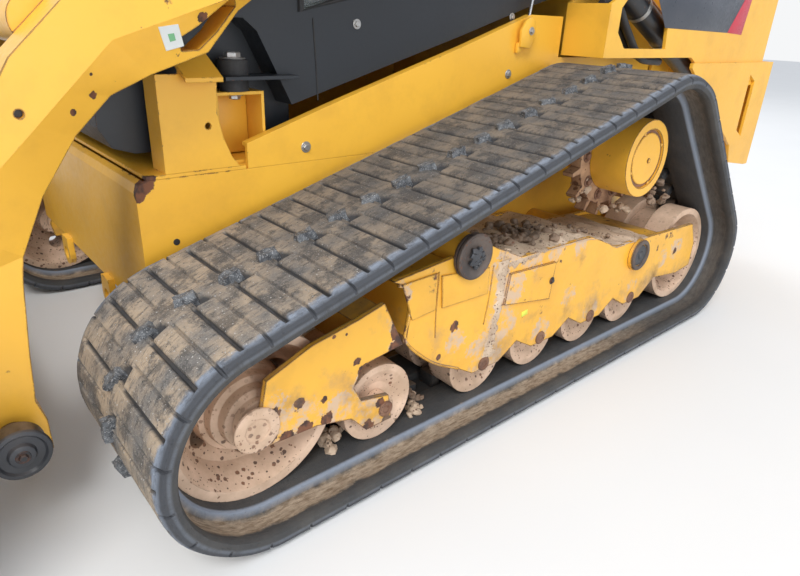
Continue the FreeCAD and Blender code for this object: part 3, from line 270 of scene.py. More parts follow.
def paint(name, base, shade, chips=0.5, rust=0.12, spot_scale=22.0, soil=0.4, soil_low=0.1, soil_high=0.6,
          gloss=0.38, grime=0.35, patches=(), washes=()):
    material, tree, shader, place = blank(name, Coat_Weight=0.12, Coat_Roughness=0.25)
    drift = spread(tree, cloud(tree, place, 2.2, 3.0), 0.35, 0.68)
    tone = blend_colour(tree, maths(tree, "MULTIPLY", drift, 0.5), base, shade)
    haze = maths(tree, "MULTIPLY", spread(tree, cloud(tree, place, 7.0, 6.0, 0.65), 0.48, 0.75), grime)
    tone = blend_colour(tree, haze, tone, colour(shade[0] * 0.72, shade[1] * 0.7, shade[2] * 0.9))
    if washes:
        wet = 0.0
        for x, y, z, radius in washes:
            wet = maths(tree, "MAXIMUM", wet, use(tree, patch_group, "Mask", X=x, Y=y, Z=z, Radius=radius))
        mottle = spread(tree, cloud(tree, place, 21.0, 9.0, 0.76), 0.45, 0.55, 0.0, 0.92)
        tone = blend_colour(tree, maths(tree, "MULTIPLY", wet, mottle), tone, WASH)
    edges = use(tree, edge_group, "Mask", Cover=chips)
    spots = use(tree, spot_group, "Mask", Scale=spot_scale, Cover=rust)
    bare = maths(tree, "MAXIMUM", edges, spots)
    for x, y, z, radius in patches:
        bare = maths(tree, "MAXIMUM", bare, use(tree, patch_group, "Mask", X=x, Y=y, Z=z, Radius=radius))
    tone = blend_colour(tree, bare, tone, rust_colour(tree, place))
    dirt = use(tree, soil_group, "Mask", Low=soil_low, High=soil_high, Cover=soil)
    tone = blend_colour(tree, dirt, tone, soil_colour(tree, place))
    tree.links.new(tone, shader.inputs["Base Color"])
    rough = maths(tree, "MAXIMUM", maths(tree, "MULTIPLY", bare, 0.7), maths(tree, "MULTIPLY", dirt, 0.95))
    grain = cloud(tree, place, 90.0, 2.0)
    even = spread(tree, grain, 0.3, 0.7, gloss - 0.05, gloss + 0.07)
    tree.links.new(maths(tree, "MAXIMUM", even, rough), shader.inputs["Roughness"])
    crumbs = maths(tree, "MULTIPLY", dirt, cloud(tree, place, 160.0, 3.0))
    relief = maths(tree, "ADD", maths(tree, "MULTIPLY", bare, -0.35),
                   maths(tree, "ADD", maths(tree, "MULTIPLY", grain, 0.03), crumbs))
    bumped(tree, shader, relief, 0.6, 0.0015, 0.0025)
    return material


# Where the paint is gone in the photograph: X, Y, Z and radius of each patch
FRAME_PATCHES = (
    (0.890, -0.385, 0.405, 0.026), (0.890, -0.380, 0.370, 0.020), (0.890, -0.383, 0.335, 0.022),
    (0.890, -0.380, 0.300, 0.022), (0.890, -0.721, 0.236, 0.026), (0.890, -0.700, 0.205, 0.022),
    (0.890, -0.659, 0.188, 0.017), (0.890, -0.612, 0.190, 0.016), (0.890, -0.564, 0.193, 0.014),
    (0.890, -0.678, 0.257, 0.012), (0.890, -0.624, 0.256, 0.011), (0.890, -0.569, 0.240, 0.008),
    (0.890, -0.468, 0.273, 0.016), (0.890, -0.488, 0.300, 0.010), (0.890, -0.424, 0.172, 0.013),
    (0.890, -0.455, 0.128, 0.016), (0.890, -0.405, 0.122, 0.014), (0.890, -0.544, 0.375, 0.004),
    (0.890, -0.514, 0.371, 0.003), (0.890, -0.209, 0.295, 0.012), (0.890, -0.252, 0.228, 0.008),
    (0.890, 0.570, 0.379, 0.010), (0.890, 0.852, 0.260, 0.011))
# Where a thin skin of pale mud hides the paint
FRAME_WASHES = (
    (0.890, -0.712, 0.228, 0.068), (0.890, -0.650, 0.186, 0.055), (0.890, -0.585, 0.186, 0.050),
    (0.890, -0.520, 0.192, 0.048), (0.890, -0.468, 0.150, 0.060), (0.890, -0.415, 0.140, 0.048),
    (0.890, -0.470, 0.235, 0.034), (0.890, -0.600, 0.232, 0.026), (0.890, -0.382, 0.420, 0.030),
    (0.890, -0.382, 0.352, 0.030), (0.890, -0.380, 0.300, 0.026), (0.890, -0.089, 0.180, 0.062),
    (0.890, 0.140, 0.178, 0.036), (0.890, 0.381, 0.176, 0.034), (0.890, 0.606, 0.178, 0.034),
    (0.890, -0.030, 0.395, 0.065), (0.890, -0.030, 0.330, 0.054), (0.890, -0.045, 0.250, 0.054),
    (0.890, 0.070, 0.412, 0.036), (0.890, 0.160, 0.405, 0.030), (0.890, 0.270, 0.395, 0.026),
    (0.890, 0.860, 0.265, 0.036), (0.890, 0.770, 0.250, 0.030), (0.890, 0.250, 0.250, 0.028),
    (0.890, 0.000, 0.245, 0.026), (0.890, -0.200, 0.250, 0.030), (0.890, -0.290, 0.180, 0.030))
BODY_PATCHES = ((0.480, -0.734, 0.612, 0.026), (0.480, -0.742, 0.588, 0.014), (0.480, -0.715, 0.622, 0.012))
ARM_PATCHES = (
    (0.610, -0.724, 0.852, 0.007), (0.605, -0.677, 0.864, 0.009), (0.610, -0.635, 0.930, 0.010),
    (0.610, -0.598, 0.871, 0.012), (0.605, -0.796, 0.822, 0.006), (0.612, -0.951, 0.783, 0.004),
    (0.600, -0.835, 0.803, 0.007), (0.606, -0.868, 0.775, 0.006), (0.612, -0.995, 0.150, 0.010),
    (0.600, -0.610, 0.935, 0.009), (0.612, -1.020, 0.400, 0.005), (0.611, -0.840, 0.780, 0.005),
    (0.606, -0.790, 0.823, 0.004), (0.614, -0.835, 0.837, 0.003), (0.603, -0.617, 0.907, 0.006),
    (0.606, -0.752, 0.838, 0.004), (0.612, -0.815, 0.838, 0.002))
YELLOW = colour(0.86, 0.47, 0.045)
YELLOW_SHADE = colour(0.74, 0.375, 0.036)
BLUE_BLACK = colour(0.018, 0.022, 0.028)
BLACK_SHADE = colour(0.012, 0.013, 0.015)
yellow_body = paint("yellow_body", YELLOW, YELLOW_SHADE, chips=0.3, rust=0.0, soil=0.2, soil_high=0.5,
                    patches=BODY_PATCHES)
yellow_arm = paint("yellow_arm", YELLOW, YELLOW_SHADE, chips=0.8, rust=0.06, spot_scale=34.0, soil=0.12,
                   patches=ARM_PATCHES)
yellow_frame = paint("yellow_frame", colour(0.82, 0.435, 0.042), colour(0.74, 0.37, 0.036), chips=0.85,
                     rust=0.16,
                     spot_scale=34.0, soil=0.62, soil_low=0.1, soil_high=0.6, gloss=0.42, grime=0.45,
                     patches=FRAME_PATCHES, washes=FRAME_WASHES)
black_paint = paint("black_paint", BLUE_BLACK, BLACK_SHADE, chips=0.3, rust=0.0, soil=0.06, gloss=0.42,
                    grime=0.12)
dark_steel = paint("dark_steel", BLACK_SHADE, BLUE_BLACK, chips=0.5, rust=0.05, soil=0.35, gloss=0.35)
print("paints:", yellow_body.name, yellow_arm.name, yellow_frame.name, black_paint.name, dark_steel.name)

# %% [markdown]
# Wheels and rollers carry a dried skin of pale mud with dark rust showing through in round spots.

# %% Bare and muddy steel


def muddy_steel(name, mud, mud_shade, spots=0.35, spot_scale=40.0, polish=0.0, spot_top=0.3, worn_edge=0.35):
    material, tree, shader, place = blank(name)
    skin = blend_colour(tree, spread(tree, cloud(tree, place, 11.0, 5.0, 0.6), 0.35, 0.65), mud, mud_shade)
    marks = use(tree, round_group, "Mask", Scale=spot_scale, Size=0.26, Share=spots)
    small = use(tree, round_group, "Mask", Scale=spot_scale * 2.3, Size=0.24, Share=spots * 0.6)
    low_down = spread(tree, add(tree, "ShaderNodeSeparateXYZ", {0: place}).outputs["Z"], spot_top,
                      spot_top - 0.12, 0.25, 1.0)
    marks = maths(tree, "MULTIPLY", maths(tree, "MAXIMUM", marks, small), low_down)
    worn = use(tree, edge_group, "Mask", Cover=worn_edge, Radius=0.006, Scale=25.0)
    bare = maths(tree, "MAXIMUM", maths(tree, "MULTIPLY", marks, 0.85), maths(tree, "MULTIPLY", worn, 0.6))
    tone = blend_colour(tree, bare, skin, rust_colour(tree, place))
    tree.links.new(tone, shader.inputs["Base Color"])
    tree.links.new(spread(tree, marks, 0.0, 1.0, 0.82 - polish, 0.62 - polish), shader.inputs["Roughness"])
    relief = maths(tree, "ADD", maths(tree, "MULTIPLY", marks, -0.5),
                   maths(tree, "MULTIPLY", cloud(tree, place, 120.0, 4.0), 0.6))
    bumped(tree, shader, relief, 0.7, 0.002, 0.003)
    return material


wheel_mud = muddy_steel("wheel_mud", colour(0.74, 0.53, 0.385), colour(0.50, 0.345, 0.235), spots=0.72,
                        spot_scale=70.0)
drive_rust = muddy_steel("drive_rust", colour(0.50, 0.31, 0.18), colour(0.17, 0.08, 0.042), spots=0.8,
                         spot_scale=34.0, spot_top=2.0, worn_edge=0.9)
boss_rust = muddy_steel("boss_rust", colour(0.26, 0.14, 0.085), colour(0.14, 0.07, 0.045), spots=0.5,
                        spot_scale=110.0, spot_top=2.0, worn_edge=0.9)
cap_brown = muddy_steel("cap_brown", colour(0.125, 0.095, 0.078), colour(0.055, 0.045, 0.042), spots=0.4,
                        spot_scale=90.0, polish=0.15, spot_top=2.0, worn_edge=0.6)
bucket_steel = muddy_steel("bucket_steel", colour(0.26, 0.22, 0.19), colour(0.16, 0.12, 0.095), spots=0.4,
                           spot_scale=16.0, polish=0.25, spot_top=2.0, worn_edge=0.9)
dry_mud = muddy_steel("dry_mud", colour(0.62, 0.48, 0.35), colour(0.40, 0.29, 0.20), spots=0.45,
                      spot_scale=120.0,
                      spot_top=2.0, worn_edge=0.0)
dark_soil = muddy_steel("dark_soil", colour(0.30, 0.205, 0.14), colour(0.12, 0.084, 0.058), spots=0.3,
                        spot_scale=90.0, spot_top=2.0, worn_edge=0.0)
print("muddy steels:", wheel_mud.name, drive_rust.name, boss_rust.name, bucket_steel.name, dry_mud.name)

# %% Chrome, glass, rubber, plastic, cloth


def plain_finish(name, base, shade, scale, rough, strength=0.25, distance=0.0008, dusty=0.5, **values):
    """A finish with two close tones, a fine grain and a little dust."""
    material, tree, shader, place = blank(name, **values)
    tone = blend_colour(tree, spread(tree, cloud(tree, place, scale * 0.1, 4.0), 0.35, 0.65), base, shade)
    dust = use(tree, soil_group, "Mask", Low=0.2, High=1.6, Cover=0.35)
    tree.links.new(blend_colour(tree, maths(tree, "MULTIPLY", dust, dusty), tone, SOIL),
                   shader.inputs["Base Color"])
    grain = cloud(tree, place, scale, 3.0)
    tree.links.new(spread(tree, grain, 0.3, 0.7, rough - 0.08, rough + 0.08), shader.inputs["Roughness"])
    bumped(tree, shader, grain, strength, distance, 0.0015)
    return material


chrome = plain_finish("rod_chrome", colour(0.62, 0.62, 0.62), colour(0.5, 0.5, 0.5), 300.0, 0.16, 0.05,
                      Metallic=1.0)
zinc = plain_finish("zinc_bolts", colour(0.55, 0.55, 0.54), colour(0.38, 0.37, 0.35), 200.0, 0.38, 0.3,
                    Metallic=0.85)
pad_rubber = plain_finish("pad_rubber", colour(0.022, 0.022, 0.024), colour(0.035, 0.034, 0.033), 160.0, 0.7)
hose_rubber = plain_finish("hose_rubber", colour(0.018, 0.018, 0.019), colour(0.03, 0.029, 0.028), 220.0,
                           0.55)
moulded = plain_finish("moulded_plastic", colour(0.03, 0.031, 0.034), colour(0.04, 0.04, 0.042), 260.0, 0.5)
engine_iron = plain_finish("engine_iron", colour(0.10, 0.10, 0.10), colour(0.06, 0.055, 0.05), 60.0, 0.6,
                           0.5, 0.002)
label_white = plain_finish("label_white", colour(0.72, 0.74, 0.72), colour(0.6, 0.62, 0.6), 90.0, 0.4)
label_dark = plain_finish("label_dark", colour(0.045, 0.052, 0.066), colour(0.06, 0.065, 0.08), 90.0, 0.35)
label_red = plain_finish("label_red", colour(0.55, 0.035, 0.06), colour(0.45, 0.03, 0.05), 90.0, 0.35)
label_green = plain_finish("label_yellow", colour(0.75, 0.8, 0.08), colour(0.6, 0.62, 0.08), 90.0, 0.4)
label_green_mark = plain_finish("label_mark", colour(0.20, 0.48, 0.24), colour(0.16, 0.40, 0.20), 90.0, 0.4)
grease_black = plain_finish("grease_black", colour(0.022, 0.023, 0.026), colour(0.045, 0.048, 0.056), 90.0,
                            0.42, 0.5, 0.0015,
                            dusty=0.12)
seat_cloth = plain_finish("seat_cloth", colour(0.035, 0.036, 0.04), colour(0.055, 0.056, 0.06), 900.0, 0.85,
                          0.5, 0.0006,
                          dusty=0.15, Sheen_Weight=0.4, Sheen_Roughness=0.5)
lamp_lens = plain_finish("lamp_lens", colour(0.75, 0.76, 0.78), colour(0.6, 0.62, 0.66), 400.0, 0.12,
                         Coat_Weight=1.0)
red_lens = plain_finish("red_lens", colour(0.42, 0.012, 0.012), colour(0.3, 0.01, 0.01), 400.0, 0.15,
                        Coat_Weight=1.0)

glass, tree, shader, place = blank("cab_glass", Transmission_Weight=0.92, Roughness=0.03, IOR=1.45)
smear = spread(tree, cloud(tree, place, 5.0, 5.0), 0.45, 0.8)
tree.links.new(blend_colour(tree, smear, colour(0.80, 0.88, 0.88), colour(0.70, 0.75, 0.72)),
               shader.inputs["Base Color"])
bumped(tree, shader, smear, 0.05, 0.0005)
print("smooth finishes ready")

# %% Give every carried-over node its finish
FINISHES = {
    yellow_frame: "track_frame_left track_frame_right idler_yokes torsion_axles final_drives",
    yellow_body: "lower_chassis front_deck side_skirts arm_rests cab_mounts rear_tower_left rear_tower_right "
                 "rear_bumper engine_housing hood rear_door",
    yellow_arm: "lift_arms",
    wheel_mud: "idlers rollers wheel_shafts",
    drive_rust: "sprockets",
    bucket_steel: "bucket",
    black_paint: "cab_shell cab_roof cab_door",
    dark_steel: "coupler lift_barrel_left lift_barrel_right tilt_barrel_left tilt_barrel_right",
    chrome: "lift_rod_left lift_rod_right tilt_rod_left tilt_rod_right",
    glass: "cab_windows door_glass",
    pad_rubber: "mount_pads seat track_left track_right",
    moulded: "consoles",
    engine_iron: "engine",
}
for finish, names in FINISHES.items():
    for name in names.split():
        if name in NODES:
            NODES[name].data.materials.clear()
            NODES[name].data.materials.append(finish)
print("finishes given to", sum(len(names.split()) for names in FINISHES.values()), "nodes")

# %% [markdown]
# The track is one endless rubber belt round three circles. Its outer face has worn nearly flat: shallow
# grooves run across it from both edges, a fine crease lies half way between them, and a short nub of
# rubber stands at the middle of each groove. The frame's belt is right in its outline, so a finer belt
# can follow the same path and replace it. One flat grid is made with bmesh, and each of its vertices is
# then laid on the path by its distance along the belt, its place across it and its depth.

# %% The belt's path
TRACK_MIDDLE = 0.740
HALF_BELT = 0.225
BELT_THICK = 0.035
RAIL_DEEP = 0.0537
NEUTRAL = 0.017
PITCHES = 55
CIRCLES = ((-0.700, 0.232, 0.232), (0.569, 0.598, 0.243), (0.959, 0.218, 0.218))


def belt_route():
    """Arcs and straight runs in turn: the circle each starts from, its lean and its length."""
    leans = []
    for i, (ya, za, ra) in enumerate(CIRCLES):
        yb, zb, rb = CIRCLES[(i + 1) % 3]
        leans.append(math.atan2(zb - za, yb - ya) + math.acos((ra - rb) / math.hypot(yb - ya, zb - za)))
    route = []
    for i, (ya, za, ra) in enumerate(CIRCLES):
        yb, zb, rb = CIRCLES[(i + 1) % 3]
        arc = (leans[i - 1] - leans[i]) % (2 * math.pi) * (ra - NEUTRAL)
        route.append(("arc", ya, za, ra, leans[i - 1], arc))
        route.append(("run", ya, za, ra, leans[i],
                      math.sqrt((yb - ya) ** 2 + (zb - za) ** 2 - (ra - rb) ** 2)))
    return route


ROUTE = belt_route()
BELT_LONG = sum(piece[5] for piece in ROUTE)
PITCH = BELT_LONG / PITCHES
TOP_RUN = ROUTE[0][5]


def on_belt(along, deep):
    """Y, Z and the outward lean of the point this far along the belt and this deep under its outer face."""
    along %= BELT_LONG
    for kind, y, z, radius, lean, length in ROUTE:
        if along <= length:
            break
        along -= length
    if kind == "arc":
        lean -= along / (radius - NEUTRAL)
        along = 0.0
    reach = radius - deep
    return y + reach * math.cos(lean) + along * math.sin(lean), z + reach * math.sin(lean) - along * math.cos(lean), lean


print(f"belt {BELT_LONG:.3f} m long, {PITCHES} pitches of {PITCH * 1000:.1f} mm")

# %% [markdown]
# A small shape is made once as a list of places and faces, and then stamped wherever it is needed. Plates
# are flat outlines pulled to a thickness, round parts are spun from half of their section, and hoses run
# smoothly through a few points.

# %% Shape helpers


def taken(bm):
    """The places and faces of a finished bmesh, ready to be stamped."""
    bmesh.ops.recalc_face_normals(bm, faces=bm.faces)
    bm.verts.index_update()
    shape = [v.co.copy() for v in bm.verts], [[v.index for v in face.verts] for face in bm.faces]
    bm.free()
    return shape


def stamp(bm, shape, matrix):
    places, faces = shape
    corners = [bm.verts.new(matrix @ place) for place in places]
    for face in faces:
        bm.faces.new([corners[i] for i in face])


def toward(spot, direction, roll=0.0, scale=1.0):
    """A matrix that carries local Z to a direction and the origin to a spot."""
    turn = Vector(direction).to_track_quat("Z", "Y").to_matrix().to_4x4()
    return Matrix.Translation(spot) @ turn @ Matrix.Rotation(roll, 4, "Z") @ Matrix.Scale(scale, 4)


def side_on(x):
    """A matrix that stands a flat (Y, Z) outline up on a plane of X, its thickness to the left."""
    return Matrix(((0, 0, 1, x), (1, 0, 0, 0), (0, 1, 0, 0), (0, 0, 0, 1)))


def turned(profile, parts=28):
    """A shape spun round Z from (height, radius) points."""
    bm = bmesh.new()
    line = [bm.verts.new((radius, 0.0, height)) for height, radius in profile]
    edges = [bm.edges.new(pair) for pair in zip(line, line[1:])]
    bmesh.ops.spin(bm, geom=line + edges, cent=(0, 0, 0), axis=(0, 0, 1), angle=2 * math.pi, steps=parts,
                   use_merge=True)
    bmesh.ops.remove_doubles(bm, verts=bm.verts, dist=0.00001)
    return taken(bm)


def plate(outline, thick, bevel=0.001):
    """A flat outline with a thickness along Z and rounded edges."""
    bm = bmesh.new()
    face = bm.faces.new([bm.verts.new((x, y, 0.0)) for x, y in outline])
    made = bmesh.ops.extrude_face_region(bm, geom=[face])["geom"]
    bmesh.ops.translate(bm, vec=(0, 0, thick),
                        verts=[part for part in made if isinstance(part, bmesh.types.BMVert)])
    bmesh.ops.bevel(bm, geom=bm.edges[:], offset=bevel, segments=2, profile=0.5, affect="EDGES", material=-1)
    return taken(bm)


def block(size, bevel=0.002, taper=(1.0, 1.0, 1.0), cuts=0):
    """A block round the origin with rounded edges, or cut into a fine grid for unevenness."""
    bm = bmesh.new()
    made = bmesh.ops.create_cube(bm, size=1.0)["verts"]
    bmesh.ops.scale(bm, vec=size, verts=made)
    bmesh.ops.scale(bm, vec=taper, verts=[v for v in made if v.co.z > 0])
    if cuts:
        bmesh.ops.subdivide_edges(bm, edges=bm.edges[:], cuts=cuts, use_grid_fill=True)
    else:
        bmesh.ops.bevel(bm, geom=bm.edges[:], offset=bevel, segments=2, profile=0.5, affect="EDGES",
                        material=-1)
    return taken(bm)


def smooth_path(points, steps):
    """Points along a curve that passes through the given ones."""
    points = [Vector(point) for point in points]
    points = [points[0] * 2 - points[1]] + points + [points[-1] * 2 - points[-2]]
    path = []
    for a, b, c, d in zip(points, points[1:], points[2:], points[3:]):
        for k in range(steps):
            t = k / steps
            path.append(0.5 * (2 * b + (c - a) * t + (2 * a - 5 * b + 4 * c - d) * t ** 2
                               + (3 * b - a - 3 * c + d) * t ** 3))
    return path + [points[-2]]


def hose(bm, points, radius, sides=10, steps=8):
    """A round tube that runs smoothly through its points, closed at both ends."""
    path = smooth_path(points, steps)
    rings = []
    side = (path[1] - path[0]).orthogonal()
    for i, spot in enumerate(path):
        ahead = (path[min(i + 1, len(path) - 1)] - path[max(i - 1, 0)]).normalized()
        side = (side - side.dot(ahead) * ahead).normalized()
        other = ahead.cross(side)
        turns = [2 * math.pi * k / sides for k in range(sides)]
        rings.append([bm.verts.new(spot + radius * (math.cos(a) * side + math.sin(a) * other)) for a in turns])
    for ring, after in zip(rings, rings[1:]):
        for k in range(sides):
            bm.faces.new((ring[k], ring[(k + 1) % sides], after[(k + 1) % sides], after[k]))
    bm.faces.new(rings[0])
    bm.faces.new(rings[-1])


WASHER = turned(((0.0, 0.0), (0.0, 1.5), (0.12, 1.6), (0.22, 1.5), (0.22, 0.0)), 24)
HEAD = turned(((0.2, 0.0), (0.2, 1.0), (0.75, 1.0), (0.88, 0.86), (0.88, 0.0)), 6)


def bolts(bm, spots, direction, radius):
    """A hexagon head on a washer at each spot. The radius is the head's."""
    for number, spot in enumerate(spots):
        for shape in (WASHER, HEAD):
            stamp(bm, shape, toward(spot, direction, number * 0.7, radius))


def finished(bm, name, finish, body, mirror=False, smooth=True):
    """Turn a bmesh into a piece that rides on a body, its place kept in its mesh."""
    if mirror:
        add_mirror(bm)
    bmesh.ops.recalc_face_normals(bm, faces=bm.faces)
    mesh = bpy.data.meshes.new(name)
    bm.to_mesh(mesh)
    bm.free()
    mesh.materials.append(finish)
    if smooth:
        mesh.shade_smooth()
        mesh.set_sharp_from_angle(angle=math.radians(35))
    item = bpy.data.objects.new(name, mesh)
    bpy.context.scene.collection.objects.link(item)
    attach(item, body)
    print(name, len(mesh.polygons), "faces")
    return item


def add_mirror(bm):
    """Join the piece's mirror image across the machine's middle to it."""
    copied = bmesh.ops.duplicate(bm, geom=bm.verts[:] + bm.edges[:] + bm.faces[:])["geom"]
    verts = [part for part in copied if isinstance(part, bmesh.types.BMVert)]
    bmesh.ops.scale(bm, vec=(-1, 1, 1), verts=verts)


# %% The tread's relief
GROOVE_FROM = 0.030
GROOVE_TO = (0.196, 0.213)
GROOVE_DEEP = 0.008
POCKET_FROM = 0.168
CREASE_DEEP = 0.0035
EDGE_DEEP = 0.011
TREAD_X = (-0.225, -0.221, -0.212, -0.204, -0.196, -0.186, -0.150, -0.100, -0.060, -0.030, -0.022, -0.008,
           0.012, 0.016, 0.027, 0.032, 0.060, 0.100, 0.150, 0.170, 0.190, 0.200, 0.207, 0.214, 0.221, 0.225)
UNDER = ((0.2250, 0.028), (0.2225, 0.037), (0.2160, 0.0405), (0.2040, 0.0405), (0.1940, 0.0355),
         (0.1600, 0.035),
         (0.1530, 0.038), (0.1500, 0.051), (0.1460, RAIL_DEEP), (0.0440, RAIL_DEEP), (0.0395,
                                                                                      0.051), (0.0360, 0.036))
ROWS = (0.0, 0.034, 0.052, 0.085, 0.20, 0.34, 0.455, 0.48, 0.50, 0.52, 0.545, 0.66, 0.80, 0.915, 0.948, 0.966)


def tread_depth(across, along):
    """How deep the worn face lies under the new one, across the belt and along it."""
    share = along / PITCH % 1.0
    off_groove = min(share, 1 - share)
    off_crease = abs(share - 0.5)
    reach = GROOVE_TO[across > 0]
    edge = max(0.0, abs(across) - 0.204) / (HALF_BELT - 0.204)
    deep = EDGE_DEEP * edge ** 1.5 + 0.0012
    if GROOVE_FROM < abs(across) < reach and off_groove < 0.06:
        sunk = GROOVE_DEEP + (0.004 if abs(across) > POCKET_FROM else 0.0)
        deep += sunk * (1.0 if off_groove < 0.04 else 0.3)
    elif abs(across) <= GROOVE_FROM and off_groove < 0.04:
        deep += 0.003
    if 0.010 < across < 0.028 and 0.06 < share < 0.36:
        deep += 0.012
    if abs(across) > GROOVE_FROM and off_crease < 0.03:
        deep += CREASE_DEEP * (2.2 if abs(across) > 0.2 else 1.0)
    bar = math.floor(2 * along / PITCH)
    deep += 0.0016 * (0.5 + 0.5 * noise.noise(Vector((bar * 3.7, across * 4.0, 0.3))))
    deep += 0.0014 * (0.5 + 0.5 * noise.noise(Vector((across * 30.0, along * 30.0, 5.1))))
    return max(0.0, deep)


print("tread has", len(TREAD_X), "columns and", len(ROWS), "rows a pitch")

# %% [markdown]
# The rubber's colour follows the belt, so it reads the piece's own UV map: U is metres across the belt
# and V is metres along it. Two attributes tell how deep a point lies and whether it faces inwards.

# %% Track rubber
RUBBER = colour(0.030, 0.031, 0.035)
WORN_BLUE = colour(0.215, 0.247, 0.300)
TREAD_TAN = colour(0.410, 0.325, 0.235)
TREAD_GREY = colour(0.165, 0.158, 0.150)
MUD_BROWN = colour(0.165, 0.110, 0.065)

nub_rubber, tree, shader, place = blank("nub_rubber")
chalk = cloud(tree, place, 60.0, 6.0, 0.72)
tone = blend_colour(tree, spread(tree, chalk, 0.42, 0.62), colour(0.045, 0.048, 0.054),
                    colour(0.17, 0.18, 0.19))
tone = blend_colour(tree, spread(tree, cloud(tree, place, 380.0, 2.0), 0.58, 0.66, 0.0, 0.7), tone,
                    colour(0.42, 0.42, 0.42))
tree.links.new(tone, shader.inputs["Base Color"])
tree.links.new(spread(tree, chalk, 0.4, 0.6, 0.5, 0.8), shader.inputs["Roughness"])
bumped(tree, shader, chalk, 0.9, 0.003)

track_rubber, tree, shader, place = blank("track_rubber")
belt_uv = add(tree, "ShaderNodeUVMap", uv_map="belt").outputs["UV"]
axes = add(tree, "ShaderNodeSeparateXYZ", {0: belt_uv})
across = maths(tree, "ABSOLUTE", axes.outputs["X"])
deep = add(tree, "ShaderNodeAttribute", attribute_name="deep").outputs["Fac"]
inside = add(tree, "ShaderNodeAttribute", attribute_name="inside").outputs["Fac"]
streaks = add(tree, "ShaderNodeMapping", {"Vector": belt_uv, "Scale": (60.0, 14.0, 1.0)}).outputs["Vector"]
patches = add(tree, "ShaderNodeMapping", {"Vector": belt_uv, "Scale": (9.0, 7.0, 1.0)}).outputs["Vector"]
streak = cloud(tree, streaks, 2.2, 6.0, 0.7)
patch = cloud(tree, patches, 1.3, 4.0, 0.6)
grit = cloud(tree, place, 420.0, 3.0, 0.7)
blotch = cloud(tree, place, 16.0, 6.0, 0.7)
stones = add(tree, "ShaderNodeTexVoronoi", {"Vector": place, "Scale": 190.0})
luck = add(tree, "ShaderNodeSeparateColor", {0: stones.outputs["Color"]}).outputs
stone = maths(tree, "MULTIPLY", spread(tree, stones.outputs["Distance"], 0.30, 0.22),
              maths(tree, "LESS_THAN", luck["Red"], 0.22))
dusty = blend_colour(tree, spread(tree, patch, 0.36, 0.60), TREAD_GREY, TREAD_TAN)
dusty = blend_colour(tree, spread(tree, blotch, 0.49, 0.58, 0.0, 0.75), dusty, colour(0.065, 0.063, 0.062))
dusty = blend_colour(tree, spread(tree, streak, 0.52, 0.62, 0.0, 0.65), dusty, RUBBER)
dusty = blend_colour(tree, spread(tree, grit, 0.56, 0.66, 0.0, 0.6), dusty, colour(0.46, 0.43, 0.39))
dusty = blend_colour(tree, stone, dusty, blend_colour(tree, luck["Green"], colour(0.03, 0.03, 0.03),
                                                      colour(0.62, 0.60, 0.57)))
worn = blend_colour(tree, spread(tree, streak, 0.46, 0.70, 0.0, 0.8), WORN_BLUE, RUBBER)
worn = blend_colour(tree, spread(tree, grit, 0.58, 0.68, 0.0, 0.5), worn, colour(0.36, 0.38, 0.42))
ragged = maths(tree, "ADD", across, maths(tree, "MULTIPLY", maths(tree, "SUBTRACT", blotch, 0.5), 0.05))
rim = spread(tree, ragged, 0.201, 0.210)
rearward = add(tree, "ShaderNodeSeparateXYZ", {0: place}).outputs["Y"]
# Behind the front idler the tread face is mixed half way to black rubber: painted shade on the rear of the tread.
painted_shade_rearward = spread(tree, rearward, -0.80, -0.35, 0.0, 0.5)
face = blend_colour(tree, rim, blend_colour(tree, painted_shade_rearward, dusty, RUBBER), worn)
# Where the face lies 4 to 10 mm deep, in the grooves, the pockets and at the falling edge, it turns almost to
# black rubber: painted shade in the recesses.
face = blend_colour(tree, spread(tree, deep, 0.004, 0.010, 0.0, 0.9), face, RUBBER)
channel = maths(tree, "MULTIPLY", spread(tree, ragged, 0.145, 0.158), spread(tree, ragged, 0.200, 0.190))
inner = blend_colour(tree, spread(tree, patch, 0.40, 0.62), colour(0.042, 0.042, 0.043),
                     colour(0.062, 0.059, 0.055))
channel = maths(tree, "MULTIPLY", channel, spread(tree, rearward, 0.75, 0.35, 0.15, 1.0))
inner = blend_colour(tree, channel, inner,
                     blend_colour(tree, spread(tree, streak, 0.35, 0.65), MUD_BROWN, TREAD_TAN))
rubbed = maths(tree, "MULTIPLY", spread(tree, across, 0.140, 0.146), spread(tree, across, 0.1535, 0.150))
inner = blend_colour(tree, rubbed, inner, WORN_BLUE)
tone = blend_colour(tree, inside, face, inner)
tree.links.new(tone, shader.inputs["Base Color"])
tree.links.new(spread(tree, streak, 0.3, 0.7, 0.88, 0.66), shader.inputs["Roughness"])
relief = maths(tree, "ADD", maths(tree, "MULTIPLY", streak, 0.6),
               maths(tree, "ADD", maths(tree, "MULTIPLY", grit, 0.35), maths(tree, "MULTIPLY", stone, 0.5)))
bumped(tree, shader, relief, 0.9, 0.003)
print("track rubber ready")

# %% Model the belt


def ring_of_columns():
    """The belt's closed section: (across, depth or None where the tread gives it, inside share)."""
    ring = [(x, None, 0.0) for x in TREAD_X]
    ring += [(x, deep, 1.0) for x, deep in UNDER]
    ring += [(-x, deep, 1.0) for x, deep in reversed(UNDER)]
    return ring


